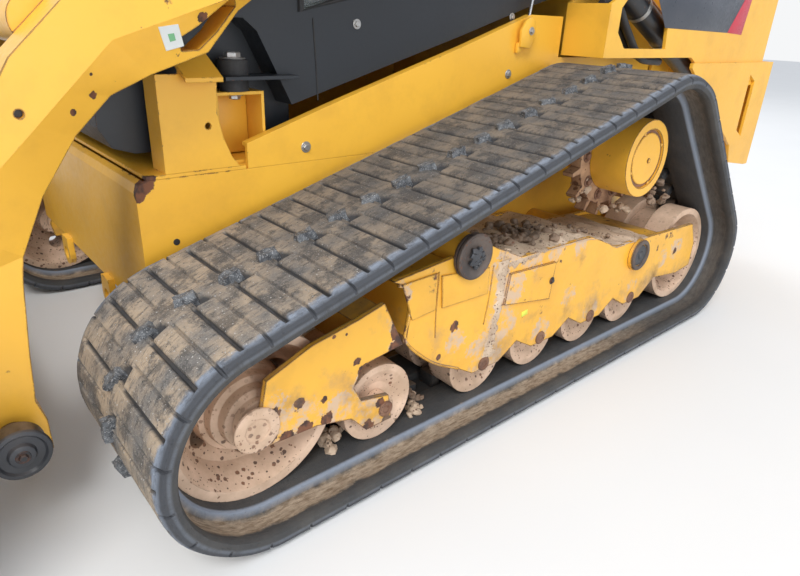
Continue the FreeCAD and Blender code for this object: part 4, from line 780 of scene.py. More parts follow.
def belt_piece(name, side):
    ring = ring_of_columns()
    rows = [(i + share) * PITCH for i in range(PITCHES) for share in ROWS]
    columns = len(ring)
    bm = bmesh.new()
    bmesh.ops.create_grid(bm, x_segments=columns, y_segments=len(rows), size=1.0)
    bm.verts.ensure_lookup_table()
    uv = bm.loops.layers.uv.new("belt")
    deep_layer = bm.verts.layers.float.new("deep")
    inside_layer = bm.verts.layers.float.new("inside")
    bm.verts.ensure_lookup_table()
    spots = {}
    for number, vertex in enumerate(bm.verts):
        row, column = divmod(number, columns + 1)
        across, depth, inward = ring[column % columns]
        along = rows[row % len(rows)] + (BELT_LONG if row == len(rows) else 0.0)
        if depth is None:
            depth = tread_depth(across, along)
        spots[vertex.index] = (across, along, column)
        vertex[deep_layer] = depth if not inward else 0.0
        vertex[inside_layer] = inward
        y, z, lean = on_belt(along + TOP_RUN, depth)
        vertex.co = (TRACK_MIDDLE + across, y, max(z, 0.0))
    for face in bm.faces:
        last = max(spots[v.index][2] for v in face.verts) == columns
        for loop in face.loops:
            across, along, column = spots[loop.vert.index]
            loop[uv].uv = (ring[0][0] if last and column == columns else across, along)
    bmesh.ops.remove_doubles(bm, verts=bm.verts, dist=0.00002)
    if side < 0:
        bmesh.ops.scale(bm, vec=(-1, 1, 1), verts=bm.verts)
    return finished(bm, name, track_rubber, "chassis")


def blocks_on_belt(name, side, spots, shape, finish, uneven):
    """Rubber blocks along the belt. Each spot gives its distance, place across, turn, and height over the face."""
    bm = bmesh.new()
    places, faces = shape
    for along, across, angle, proud in spots:
        corners = []
        for spot in places:
            x, y, z = Matrix.Rotation(angle, 3, "Z") @ spot
            rough = uneven * noise.noise_vector(Vector((x * 70.0, (y + along) * 70.0, z * 70.0)))
            place_y, place_z, lean = on_belt(along + y + rough.y, -(z + proud + rough.z))
            corners.append(bm.verts.new((side * (TRACK_MIDDLE + across + x + rough.x), place_y,
                                         max(place_z, 0.0))))
        for face in faces:
            bm.faces.new([corners[i] for i in face])
    return finished(bm, name, finish, "chassis")


NUB = block((0.024, 0.046, 0.024), taper=(0.72, 0.82, 1.0), cuts=4)
GUIDE = block((0.054, 0.030, 0.044), 0.005)
CLEAR_OF_GROUND = 0.016
guide_spots = [((i + 0.5) * PITCH, 0.0, 0.0, -BELT_THICK - 0.018) for i in range(PITCHES)]
nub_spots = []
for i in range(PITCHES):
    sway = noise.noise(Vector((i * 1.9, 0.4, 2.2)))
    if on_belt(TOP_RUN + i * PITCH, 0.0)[1] > CLEAR_OF_GROUND:
        nub_spots.append((TOP_RUN + (i + 0.02) * PITCH, -0.004 + 0.012 * sway, -0.22 + 0.5 * sway,
                          -0.002 + 0.003 * sway))
for label, side in (("left", 1), ("right", -1)):
    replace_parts(belt_piece(f"track_{label}_rubber", side), f"track_{label}")
    blocks_on_belt(f"track_{label}_guides", side, guide_spots, GUIDE, pad_rubber, 0.0016)
    blocks_on_belt(f"track_{label}_nubs", side, nub_spots, NUB, nub_rubber, 0.004)

# %% [markdown]
# The undercarriage shows most in the photograph. Thin cover plates and weld beads lie on the track frame,
# rusty shaft ends stand at the rollers, the two suspension axles end in round caps, and the idlers have a
# stepped hub. Every table below gives places as Y and Z on the plane named beside it.

# %% Undercarriage trim
FRAME_FACE = 0.890
IDLER_SPOTS = ((-0.700, 0.232), (0.959, 0.218))
FRONT_AXLE = (-0.178, 0.467)
REAR_AXLE = (0.590, 0.305)
DRIVE = (0.569, 0.598)
COVER_FLOOR = 0.867
AXLE_END = 0.9025
LEFT = (1, 0, 0)

bm = bmesh.new()
for outline in (((-0.376, 0.443), (-0.276, 0.446), (-0.276, 0.358), (-0.345, 0.352)),
                ((-0.263, 0.436), (-0.107, 0.421), (-0.105, 0.353), (-0.256, 0.356))):
    stamp(bm, plate(outline, 0.0045, 0.0015), side_on(FRAME_FACE))
for points, radius in (
        (((-0.385, 0.442), (-0.345, 0.421), (-0.351, 0.360), (-0.356, 0.302), (-0.274, 0.223),
          (-0.182, 0.173)), 0.0035),
        (((-0.270, 0.446), (-0.270, 0.400), (-0.271, 0.340), (-0.268, 0.285)), 0.0020),
        (((-0.090, 0.420), (-0.095, 0.340), (-0.105, 0.270)), 0.0022),
        (((-0.043, 0.305), (0.050, 0.291), (0.149, 0.272)), 0.0016)):
    hose(bm, [(FRAME_FACE, y, z) for y, z in points], radius, 8, 4)
finished(bm, "frame_plates", yellow_frame, "chassis", mirror=True)

SHAFT_END = turned(((0.0, 0.0), (0.0, 0.019), (0.0035, 0.019), (0.005, 0.017), (0.005, 0.009),
                    (0.0035, 0.008),
                    (0.0035, 0.0)), 24)
bm = bmesh.new()
for y, z in ((-0.089, 0.154), (0.140, 0.155), (0.381, 0.152), (0.606, 0.153), (-0.408, 0.152)):
    stamp(bm, SHAFT_END, toward((FRAME_FACE - 0.001, y, z), LEFT))
SPROCKET_FACE = 0.757
ring = [2 * math.pi * k / 10 for k in range(10)]
bolts(bm, [(SPROCKET_FACE, DRIVE[0] + 0.130 * math.cos(a), DRIVE[1] + 0.130 * math.sin(a)) for a in ring],
      LEFT, 0.011)
finished(bm, "shaft_ends", boss_rust, "chassis", mirror=True)

HUB_RINGS = turned(((0.0, 0.100), (0.034, 0.094), (0.038, 0.083), (0.058, 0.080), (0.062, 0.067),
                    (0.082, 0.064),
                    (0.086, 0.050), (0.100, 0.048), (0.100, 0.0)), 48)
YOKE_BOSS = turned(((0.0, 0.0), (0.0, 0.047), (0.005, 0.047), (0.007, 0.044), (0.007, 0.026), (0.004, 0.024),
                    (0.004, 0.0)), 36)
bm = bmesh.new()
for y, z in IDLER_SPOTS:
    stamp(bm, HUB_RINGS, toward((0.770, y, z), LEFT))
stamp(bm, YOKE_BOSS, toward((FRAME_FACE - 0.002, -0.717, 0.234), LEFT))
finished(bm, "idler_hubs", wheel_mud, "chassis", mirror=True)

FRONT_CAP = turned(((0.0, 0.0), (0.0, 0.050), (0.005, 0.053), (0.009, 0.053), (0.010, 0.047), (0.013, 0.047),
                    (0.014, 0.054), (0.021, 0.054), (0.024, 0.050), (0.020, 0.042), (0.018, 0.020), (0.024,
                                                                                                     0.018),
                    (0.026, 0.010), (0.026, 0.0)), 40)
GREASE_GROOVE = turned(((0.0085, 0.0), (0.0085, 0.0510), (0.0145, 0.0510), (0.0145, 0.0)), 40)
REAR_RING = turned(((0.0, 0.0), (0.0, 0.048), (0.014, 0.048), (0.016, 0.045), (0.016, 0.036), (0.009, 0.034),
                    (0.009, 0.0)), 40)
REAR_PLUG = turned(((0.0, 0.0), (0.0, 0.033), (0.002, 0.031), (0.003, 0.014), (0.006, 0.012), (0.006, 0.0)),
                   32)
bm = bmesh.new()
stamp(bm, FRONT_CAP, toward((FRAME_FACE, *FRONT_AXLE), LEFT))
stamp(bm, REAR_RING, toward((AXLE_END - 0.010, *REAR_AXLE), LEFT))
finished(bm, "axle_caps", cap_brown, "chassis", mirror=True)
bm = bmesh.new()
stamp(bm, REAR_PLUG, toward((AXLE_END, *REAR_AXLE), LEFT))
stamp(bm, GREASE_GROOVE, toward((FRAME_FACE, *FRONT_AXLE), LEFT))
grease = block((1.0, 1.0, 0.7), 0.12)
for k in range(16):
    side_y = 0.023 * math.sqrt(k / 16) * math.cos(2.4 * k)
    side_z = 0.023 * math.sqrt(k / 16) * math.sin(2.4 * k)
    stamp(bm, grease, toward((FRAME_FACE + 0.025, FRONT_AXLE[0] + side_y, FRONT_AXLE[1] + side_z),
                             (1, side_y * 20, side_z * 20), k, 0.011))
finished(bm, "axle_grease", grease_black, "chassis", mirror=True)

DRIVE_DISC = turned(((0.0, 0.0), (0.0, 0.075), (0.0035, 0.075), (0.005, 0.073), (0.005, 0.0)), 48)
DRIVE_GROOVE = turned(((0.0, 0.074), (0.0012, 0.074), (0.0012, 0.083), (0.0, 0.083)), 48)
bm = bmesh.new()
stamp(bm, DRIVE_DISC, toward((COVER_FLOOR, *DRIVE), LEFT))
rim = [math.radians(a) for a in (25, 115, 205, 295)]
for a in rim:
    stamp(bm, HEAD, toward((COVER_FLOOR, DRIVE[0] + 0.081 * math.cos(a), DRIVE[1] + 0.081 * math.sin(a)),
                           LEFT, 0, 0.0065))
stamp(bm, HEAD, toward((COVER_FLOOR + 0.003, DRIVE[0] + 0.012, DRIVE[1] - 0.006), LEFT, 0, 0.007))
finished(bm, "drive_discs", yellow_frame, "chassis", mirror=True)
bm = bmesh.new()
stamp(bm, DRIVE_GROOVE, toward((COVER_FLOOR, *DRIVE), LEFT))
finished(bm, "drive_grooves", boss_rust, "chassis", mirror=True)

bm = bmesh.new()
bolts(bm, [(FRAME_FACE + 0.006, 0.147, 0.326)], LEFT, 0.0065)
finished(bm, "cover_bolts", dark_steel, "chassis", mirror=True)
bm = bmesh.new()
stamp(bm, plate(((0.044, 0.245), (0.068, 0.248), (0.066, 0.263), (0.042, 0.260)), 0.0007, 0.0002),
      side_on(FRAME_FACE))
finished(bm, "frame_label", label_green, "chassis")

# %% [markdown]
# Soil lies in the trough on top of each track frame, runs over its shoulder and down one seam. Dark clods
# lie on it, and more of them stick to the inside of the belt. A cloud of noise shapes every lump, and a
# random series with a fixed start scatters them, so each run gives the same machine.

# %% Soil on the undercarriage
TROUGH_IN = 0.603
SHOULDER = ((0.603, 0.0), (0.66, 0.006), (0.72, 0.010), (0.78, 0.010), (0.83, 0.008), (0.862, 0.005),
            (0.876, 0.003),
            (0.885, 0.001), (0.8905, -0.005), (0.8925, -0.014), (0.8915, -0.026), (0.8885, -0.030))
FRAME_TOP = ((-0.04, 0.418), (0.013, 0.420), (0.30, 0.413), (0.36, 0.398), (0.462, 0.356), (0.642, 0.350),
             (0.930, 0.262))


def top_height(y):
    for (y0, z0), (y1, z1) in zip(FRAME_TOP, FRAME_TOP[1:]):
        if y <= y1:
            return z0 + (z1 - z0) * (y - y0) / (y1 - y0)
    return FRAME_TOP[-1][1]


def lump(spot, scale, high):
    return high * noise.noise(Vector(spot) * scale)


def cloth_of_soil(bm, rows):
    """Join rows of points into one open skin."""
    rows = [[bm.verts.new(point) for point in row] for row in rows]
    for row, after in zip(rows, rows[1:]):
        for a, b, c, d in zip(row, row[1:], after[1:], after):
            bm.faces.new((a, b, c, d))


bm = bmesh.new()
rows = []
for i in range(131):
    y = -0.035 + 0.0052 * i
    cover = max(0.15, 1.0 - 0.75 * abs(y - 0.12) / 0.35)
    ripple = noise.noise(Vector((y * 18.0, 3.0, 1.0))) + 0.7 * noise.noise(Vector((y * 61.0, 5.0, 1.0)))
    hang = max(0.15, 1.0 - 0.8 * max(0.0, y - 0.02) / 0.10) * (0.7 + 0.7 * ripple)
    row = []
    for x, lift in SHOULDER:
        spot = (x, y, 0.0)
        z = top_height(y) + lift * (cover if lift > 0 else hang)
        z += (lump(spot, 22.0, 0.012) + lump(spot, 75.0, 0.005)) * (1.0 if x < 0.88 else 0.25)
        row.append((x + (0.0015 * noise.noise(Vector((x * 90, y * 90, 7.0))) if x > 0.88 else 0.0), y, z))
    rows.append(row)
cloth_of_soil(bm, rows)
CHANNEL = ((0.425, -0.050, 0.030), (0.380, -0.055, 0.026), (0.330, -0.052, 0.020), (0.290, -0.058, 0.018),
           (0.240, -0.066, 0.020), (0.200, -0.072, 0.026), (0.162, -0.078, 0.030))
rows = []
for (z0, y0, w0), (z1, y1, w1) in zip(CHANNEL, CHANNEL[1:]):
    for k in range(8):
        t = k / 8
        z, y, wide = z0 + (z1 - z0) * t, y0 + (y1 - y0) * t, w0 + (w1 - w0) * t
        left_edge = wide * (0.75 + 0.7 * noise.noise(Vector((z * 60, 1.0, 0.0))))
        right_edge = wide * (0.75 + 0.7 * noise.noise(Vector((z * 60, 9.0, 0.0))))
        row = []
        for share in (-1.0, -0.7, -0.4, 0.0, 0.4, 0.7, 1.0):
            place_y = y + share * (left_edge if share < 0 else right_edge)
            proud = -0.001 if abs(share) == 1.0 else 0.0022 + 0.0016 * noise.noise(Vector((place_y * 110,
                                                                                           z * 110, 2.0)))
            row.append((FRAME_FACE + proud, place_y, z))
        rows.append(row)
cloth_of_soil(bm, rows)
finished(bm, "frame_soil", dry_mud, "chassis", mirror=True)


def clod(radius, seed):
    """A small ball pushed out of shape by noise."""
    bm = bmesh.new()
    bmesh.ops.create_icosphere(bm, subdivisions=2, radius=radius)
    for vertex in bm.verts:
        vertex.co *= 1.0 + 0.55 * noise.noise(vertex.co / radius * 1.1 + Vector((seed, 0, 0)))
        vertex.co.z *= 0.7
    return taken(bm)


CLODS = [clod(1.0, seed * 3.7) for seed in range(6)]
chance = random.Random(5)


def scatter(bm, count, middle, reach, sizes, ground=None):
    """Clods round a middle. Where a ground is given, it tells their height from Y."""
    for number in range(count):
        x, y, z = (m + r * chance.triangular(-1, 1) for m, r in zip(middle, reach))
        radius = sizes[0] + (sizes[1] - sizes[0]) * chance.random() ** 2
        if ground:
            z = ground(y) + 0.010 + 0.2 * radius
        stamp(bm, CLODS[number % len(CLODS)],
              toward((x, y, z), (chance.random() - 0.5, chance.random() - 0.5, 1), number, radius))


bm = bmesh.new()
scatter(bm, 110, (0.78, 0.10, 0), (0.10, 0.17, 0), (0.004, 0.015), top_height)
scatter(bm, 26, (0.80, 0.36, 0), (0.08, 0.20, 0), (0.003, 0.011), top_height)
scatter(bm, 16, (0.84, 0.73, 0.47), (0.04, 0.05, 0.07), (0.006, 0.017))
scatter(bm, 9, (0.80, -0.24, 0.064), (0.05, 0.06, 0.008), (0.006, 0.016))
finished(bm, "dark_clods", dark_soil, "chassis", mirror=True, smooth=False)
bm = bmesh.new()
scatter(bm, 12, (0.80, -0.49, 0.062), (0.05, 0.05, 0.012), (0.010, 0.026))
scatter(bm, 10, (0.82, -0.265, 0.062), (0.05, 0.04, 0.010), (0.008, 0.020))
scatter(bm, 14, (0.735, 0.47, 0.50), (0.025, 0.05, 0.07), (0.008, 0.020))
scatter(bm, 8, (0.79, 0.60, 0.43), (0.05, 0.08, 0.02), (0.008, 0.020))
for k in range(150):
    z0, y0, w0 = CHANNEL[chance.randrange(len(CHANNEL))]
    scatter(bm, 1, (FRAME_FACE, y0, z0 + 0.02), (0.0, 0.9 * w0, 0.030), (0.0012, 0.0042))
finished(bm, "pale_clods", dry_mud, "chassis", mirror=True, smooth=False)

# %% [markdown]
# The tub, the cab and the towers carry bolts, a lifting lug with its gas strut, hoses behind the opening
# in the tower, and a dark stripe with a red end. The sticker on the arm and the stripe are left blank.

# %% Body trim
SIDE_FACE = 0.480
CAB_FACE = 0.445
TOWER_FACE = 0.637
MOUNT = (0.428, -0.492)
bm = bmesh.new()
bolts(bm, [(SIDE_FACE, -0.341, 0.650), (SIDE_FACE, 0.378, 0.803)], LEFT, 0.0085)
bolts(bm, [(CAB_FACE, -0.166, 0.926), (CAB_FACE, 0.411, 0.961), (0.502, 0.440, 0.925)], LEFT, 0.0075)
bolts(bm, [(*MOUNT, 0.846)], (0, 0, 1), 0.018)
bolts(bm, [(*MOUNT, 0.773)], (0, 0, -1), 0.013)
stamp(bm, plate(((-0.566, 0.775), (-0.552, 0.778), (-0.547, 0.735), (-0.552, 0.690), (-0.545, 0.650),
                 (-0.556, 0.645),
                 (-0.566, 0.690), (-0.560, 0.735)), 0.003), side_on(0.440))
finished(bm, "body_bolts", zinc, "chassis", mirror=True)

bm = bmesh.new()
stamp(bm, plate(((0.398, 0.880), (0.440, 0.876), (0.462, 0.912), (0.457, 0.948), (0.437, 0.963),
                 (0.416, 0.955),
                 (0.396, 0.925)), 0.010, 0.002), side_on(0.492))
stamp(bm, plate(((0.396, 0.862), (0.446, 0.880), (0.446, 0.905), (0.396, 0.890)), 0.012, 0.002),
      side_on(0.481))
finished(bm, "strut_lugs", yellow_body, "chassis", mirror=True)
bm = bmesh.new()
hose(bm, ((0.472, 0.455, 0.945), (0.471, 0.466, 1.010), (0.470, 0.480, 1.085)), 0.0045, 10, 2)
finished(bm, "strut_rods", chrome, "chassis", mirror=True)
bm = bmesh.new()
hose(bm, ((0.470, 0.479, 1.080), (0.468, 0.500, 1.190), (0.462, 0.522, 1.310)), 0.0105, 14, 2)
stamp(bm, turned(((0.0, 0.0), (0.0, 0.012), (0.018, 0.012), (0.020, 0.0)), 16),
      toward((0.445, 0.524, 1.315), LEFT))
# The hole in the side face is a thin black disc on the face: painted shade of the hole's inside.
HOLE_SHADE_DISC = turned(((0.0, 0.0), (0.0, 0.0075), (0.0006, 0.0075), (0.0006, 0.0)), 20)
stamp(bm, HOLE_SHADE_DISC, toward((SIDE_FACE, -0.677, 0.474), LEFT))
for k, x in enumerate((0.530, 0.560, 0.590)):
    sway = 0.012 * k
    hose(bm, ((x, 0.648, 0.985 + sway), (x, 0.735, 0.985 + sway), (x - 0.006, 0.830, 0.935),
              (x, 0.925, 0.880 - sway),
              (x, 1.060, 0.865 - sway)), 0.0135, 12)
finished(bm, "body_hoses", hose_rubber, "chassis", mirror=True)

bm = bmesh.new()
stamp(bm, plate(((0.900, 1.075), (0.897, 1.032), (0.971, 0.951), (1.449, 0.945), (1.585, 1.125),
                 (1.200, 1.100)),
                0.0008, 0.0003), side_on(TOWER_FACE))
finished(bm, "tower_stripe", label_dark, "chassis", mirror=True)
bm = bmesh.new()
stamp(bm, plate(((1.449, 0.945), (1.579, 0.940), (1.613, 1.135), (1.585, 1.125)), 0.0010, 0.0003),
      side_on(TOWER_FACE))
finished(bm, "tower_stripe_end", label_red, "chassis", mirror=True)

# %% Arm trim
BEND_OUT = Vector((0.939, 0.110, -0.325))


def leaf(bm, corners, lift, thick):
    """A thin plate over four corners on the arm's bent face."""
    low = [bm.verts.new(Vector(corner) + BEND_OUT * lift) for corner in corners]
    high = [bm.verts.new(Vector(corner) + BEND_OUT * (lift + thick)) for corner in corners]
    bm.faces.new(low)
    bm.faces.new(high)
    for i in range(4):
        bm.faces.new((low[i - 1], low[i], high[i], high[i - 1]))


STICKER = ((0.6162, -0.7166, 0.9114), (0.6139, -0.6802, 0.9170), (0.5998, -0.6675, 0.8806),
           (0.6009, -0.7014, 0.8721))
sticker_middle = sum((Vector(corner) for corner in STICKER), Vector()) / 4
bm = bmesh.new()
leaf(bm, STICKER, 0.0, 0.0008)
finished(bm, "arm_sticker", label_white, "lift_arms")
bm = bmesh.new()
leaf(bm, [sticker_middle + (Vector(corner) - sticker_middle) * 0.32 for corner in STICKER], 0.0008, 0.0003)
finished(bm, "arm_sticker_mark", label_green_mark, "lift_arms")

TIP_CAP = turned(((0.0, 0.0), (0.0, 0.046), (0.006, 0.050), (0.011, 0.048), (0.012, 0.041), (0.007, 0.037),
                  (0.007, 0.024),
                  (0.014, 0.021), (0.016, 0.014), (0.016, 0.0)), 40)
bm = bmesh.new()
stamp(bm, TIP_CAP, toward((0.657, -1.061, 0.202), LEFT))
finished(bm, "pin_caps", grease_black, "attachment", mirror=True)
bm = bmesh.new()
bolts(bm, [(0.672, -1.061, 0.202)], LEFT, 0.008)
finished(bm, "pin_cap_bolts", dark_steel, "attachment", mirror=True)

HOLE_PLUG = turned(((0.0, 0.0), (0.0, 0.0072), (0.0012, 0.0072), (0.0012, 0.0)), 20)
bm = bmesh.new()
stamp(bm, HOLE_PLUG, toward((0.604, -0.950, 0.780), LEFT))
finished(bm, "arm_plugs", grease_black, "lift_arms", mirror=True)

bm = bmesh.new()
stamp(bm, block((0.003, 0.102, 0.138), 0.0006), Matrix.Translation((0.3775, -0.491, 0.702)))
finished(bm, "cab_mount_backs", yellow_body, "chassis", mirror=True)

# %% [markdown]
# The cab has rubber seals round its windows, a door handle, a wiper and lamp lenses. The rear door has
# dark louvres, tail lamps and a latch, and a dark screen lies under the slots of the hood.

# %% Cab and rear trim
DOOR_FACE = -0.811
CAB_REAR = 0.700
FORWARD = (0, -1, 0)
REARWARD = (0, 1, 0)


def seal(bm, corners, radius):
    """A rubber seal along a closed outline."""
    corners = [Vector(corner) for corner in corners]
    middle = (corners[-1] + corners[0]) / 2
    hose(bm, [middle] + corners + [middle + (corners[0] - middle).normalized() * radius], radius, 8, 1)


def upright(low_x, high_x, low_z, high_z, y):
    """The corners of an upright rectangle that faces along Y."""
    return [(low_x, y, low_z), (high_x, y, low_z), (high_x, y, high_z), (low_x, y, high_z)]


bm = bmesh.new()
side_window = ((-0.325, 0.950), (-0.140, 1.000), (0.350, 1.110), (0.350, 1.960), (-0.325, 1.960))
seal(bm, [(CAB_FACE, y, z) for y, z in side_window], 0.009)
hose(bm, ((0.4455, -0.293, 0.935), (0.4455, -0.286, 0.830), (0.4455, -0.282, 0.752)), 0.0018, 6, 2)
add_mirror(bm)
seal(bm, upright(-0.360, 0.360, 1.480, 1.960, CAB_REAR), 0.009)
finished(bm, "window_seals", pad_rubber, "chassis")
bm = bmesh.new()
seal(bm, upright(-0.350, 0.340, 1.060, 1.970, DOOR_FACE), 0.008)
WIPER = (0.040, DOOR_FACE - 0.004, 1.032)
stamp(bm, turned(((0.0, 0.0), (0.0, 0.026), (0.012, 0.024), (0.020, 0.012), (0.020, 0.0)), 24),
      toward(WIPER, FORWARD))
hose(bm, (WIPER, (0.000, -0.826, 1.300), (-0.045, -0.822, 1.560)), 0.0055, 8, 4)
hose(bm, ((0.020, -0.812, 1.250), (-0.045, -0.812, 1.560), (-0.110, -0.812, 1.870)), 0.0050, 8, 2)
hose(bm, ((-0.385, DOOR_FACE, 1.270), (-0.385, -0.848, 1.295), (-0.385, -0.850, 1.400),
          (-0.385, -0.848, 1.505),
          (-0.385, DOOR_FACE, 1.530)), 0.0105, 12)
stamp(bm, block((0.045, 0.020, 0.070), 0.004), Matrix.Translation((-0.388, DOOR_FACE - 0.006, 1.215)))
finished(bm, "door_trim", moulded, "cab_door")

LENS = block((0.098, 0.012, 0.038), 0.004)
bm = bmesh.new()
for x in (-0.330, 0.330):
    stamp(bm, LENS, Matrix.Translation((x, -0.820, 2.086)))
    stamp(bm, LENS, Matrix.Translation((x, 0.685, 2.086)))
finished(bm, "roof_lamp_lenses", lamp_lens, "chassis")

REAR_FACE = 1.9097
TAIL_LAMP = turned(((0.0, 0.0), (0.0, 0.031), (0.008, 0.030), (0.014, 0.020), (0.016, 0.0)), 32)
TAIL_RIM = turned(((0.0, 0.0), (0.0, 0.036), (0.007, 0.036), (0.009, 0.031), (0.0, 0.030)), 32)
bm = bmesh.new()
for x in (-0.400, 0.395):
    stamp(bm, TAIL_LAMP, toward((x, REAR_FACE, 1.386), REARWARD))
finished(bm, "tail_lamps", red_lens, "rear_door")
bm = bmesh.new()
for x in (-0.400, 0.395):
    stamp(bm, TAIL_RIM, toward((x, REAR_FACE, 1.386), REARWARD))
for k in range(7):
    stamp(bm, block((0.656, 0.003, 0.0285), 0.0008), Matrix.Translation((0.0, 1.8935, 0.965 + 0.060 * k)))
stamp(bm, block((0.030, 0.012, 0.110), 0.004), Matrix.Translation((-0.420, REAR_FACE + 0.005, 1.120)))
stamp(bm, block((0.018, 0.022, 0.070), 0.004), Matrix.Translation((-0.420, REAR_FACE + 0.018, 1.135)))
finished(bm, "rear_door_trim", black_paint, "rear_door")
bm = bmesh.new()
stamp(bm, block((0.640, 0.430, 0.003), 0.001), Matrix.Translation((0.0, 1.475, 1.3965)))
for x in (-0.38, 0.38):
    stamp(bm, block((0.036, 0.110, 0.010), 0.003), Matrix.Translation((x, 1.780, 1.4445)))
finished(bm, "hood_screen", black_paint, "hood")
bm = bmesh.new()
for x in (-0.42, 0.415):
    bolts(bm, [(x, REAR_FACE, z) for z in (0.900, 1.300)], REARWARD, 0.009)
finished(bm, "rear_door_bolts", zinc, "rear_door")

# %% [markdown]
# Each hydraulic cylinder has a steel line with a fitting at both ends and two bands. Two lines run along
# the inside of each arm. They are short fixed lines, held at both ends.

# %% Hydraulic lines


def beside(start, end, x, share, lift):
    """A place beside a cylinder: its share of the length from the base eye, and how far it stands off."""
    start, end = Vector(start), Vector(end)
    along = end - start
    off = Vector((-along.y, along.x)).normalized()
    off = -off if off.y < 0 else off
    spot = start + along * share + off * lift
    return Vector((x, spot.x, spot.y))


def ring_shape(radius, thick, wide, parts=36):
    return turned(((-wide / 2, radius), (-wide / 2, radius + thick), (wide / 2, radius + thick),
                   (wide / 2, radius),
                   (-wide / 2, radius)), parts)


NUT = turned(((-0.008, 0.0), (-0.008, 0.011), (0.008, 0.011), (0.008, 0.0)), 6)
CYLINDERS = {"lift": ((1.360, 0.800), (0.400, 1.230), 0.569, 0.042, 0.14, 0.62),
             "tilt": ((-0.700, 1.000), (-1.180, 0.400), 0.484, 0.028, 0.12, 0.66)}
for kind, (start, end, x, radius, first, last) in CYLINDERS.items():
    for label, side in (("left", 1), ("right", -1)):
        bm = bmesh.new()
        spots = [beside(start, end, side * x, share, lift) for share, lift in (
            (first, radius - 0.004), (first + 0.012, radius + 0.010), (first + 0.10, radius + 0.011),
            (last - 0.10, radius + 0.011), (last - 0.012, radius + 0.010), (last, radius - 0.004))]
        hose(bm, spots, 0.0065, 10, 6)
        line = (spots[3] - spots[2]).normalized()
        for share in (first, last):
            spot = beside(start, end, side * x, share, radius + 0.002)
            off = spot - beside(start, end, side * x, share, 0.0)
            stamp(bm, NUT, toward(spot, off))
        for share in (first + 0.14, last - 0.14):
            stamp(bm, ring_shape(radius, 0.0025, 0.016),
                  toward(beside(start, end, side * x, share, 0.0), line))
        finished(bm, f"{kind}_line_{label}", zinc, f"{kind}_barrel_{label}")

bm = bmesh.new()
ARM_LINE = ((0.560, 1.420), (0.300, 1.385), (0.000, 1.320), (-0.270, 1.235), (-0.480, 1.120), (-0.590, 1.045))
for lower in (0.0, 0.024):
    hose(bm, [(0.504, y, z - lower) for y, z in ARM_LINE], 0.0070, 10, 5)
finished(bm, "arm_lines", dark_steel, "lift_arms", mirror=True)
bm = bmesh.new()
for y, z in ((0.420, 1.402), (0.010, 1.323), (-0.400, 1.167)):
    stamp(bm, block((0.026, 0.030, 0.058), 0.003), Matrix.Translation((0.508, y, z - 0.012)))
for lower, reach in ((0.0, -0.640), (0.024, -0.655)):
    hose(bm, ((0.504, -0.575, 1.055 - lower), (0.504, -0.610, 1.035 - lower), (0.500, reach, 1.040 - lower),
              (0.492, reach - 0.012, 1.022 - lower / 2)), 0.0100, 10)
finished(bm, "arm_hoses", hose_rubber, "lift_arms", mirror=True)

# %% Coupler and bucket trim
bm = bmesh.new()
stamp(bm, block((0.050, 0.024, 0.320), 0.004), Matrix.Translation((0.300, -1.249, 0.270)))
for z in (0.150, 0.390):
    stamp(bm, ring_shape(0.020, 0.010, 0.040), toward((0.300, -1.236, z), (0, 0, 1)))
hose(bm, ((0.300, -1.236, 0.110), (0.300, -1.236, 0.440)), 0.016, 16, 1)
hose(bm, ((0.300, -1.236, 0.430), (0.306, -1.232, 0.500), (0.330, -1.228, 0.580)), 0.0085, 12, 4)
finished(bm, "coupler_locks", dark_steel, "attachment", mirror=True)
bm = bmesh.new()
hose(bm, ((0.324, -1.229, 0.560), (0.340, -1.226, 0.610), (0.358, -1.222, 0.655)), 0.0130, 12, 3)
finished(bm, "coupler_grips", pad_rubber, "attachment", mirror=True)
EDGE_BOLT = turned(((0.0, 0.0), (0.0, 0.0145), (0.0015, 0.0135), (0.0018, 0.0)), 20)
BUCKET_IN = 0.914
bm = bmesh.new()
for k in range(9):
    stamp(bm, EDGE_BOLT, toward((-0.800 + 0.200 * k, -1.845, 0.032), (0, 0, 1)))
inner = ((-1.900, 0.031), (-1.775, 0.031), (-1.765, 0.024), (-1.445, 0.026), (-1.335, 0.096),
         (-1.296, 0.262), (-1.296, 0.630),
         (-1.350, 0.690))
for x in (-BUCKET_IN, BUCKET_IN):
    hose(bm, [(x, y, z) for y, z in inner], 0.0060, 8, 3)
hose(bm, ((-BUCKET_IN, -1.7705, 0.0235), (0.0, -1.7705, 0.0235), (BUCKET_IN, -1.7705, 0.0235)), 0.0050, 8, 12)
finished(bm, "bucket_welds", bucket_steel, "attachment")

# %% Stick boots and console buttons
BOOT = turned(((0.0, 0.046), (0.006, 0.046), (0.010, 0.034), (0.020, 0.038), (0.028, 0.028), (0.038, 0.032),
               (0.046, 0.021), (0.056, 0.025), (0.066, 0.0135), (0.078, 0.0135)), 32)
bm = bmesh.new()
stamp(bm, BOOT, toward((0.325, 0.060, 1.200), (0, 0, 1)))
finished(bm, "stick_boots", pad_rubber, "chassis", mirror=True)
BUTTON = turned(((0.0, 0.0), (0.0, 0.011), (0.005, 0.010), (0.006, 0.0)), 20)
bm = bmesh.new()
for k in range(6):
    stamp(bm, BUTTON, toward((0.300 + 0.050 * (k % 2), 0.170 + 0.045 * (k // 2), 1.2085 + 0.0032 * (k // 2)),
                             (0, -0.07, 1)))
finished(bm, "console_buttons", zinc, "chassis", mirror=True)

# %% [markdown]
# The driver's seat is two padded cushions on a moulded base. Each cushion starts as a smaller block, is
# remeshed to even small faces, and is blown up by a short cloth simulation whose movement is capped. The
# sewn channels are pressed in after that.

# %% Padded seat


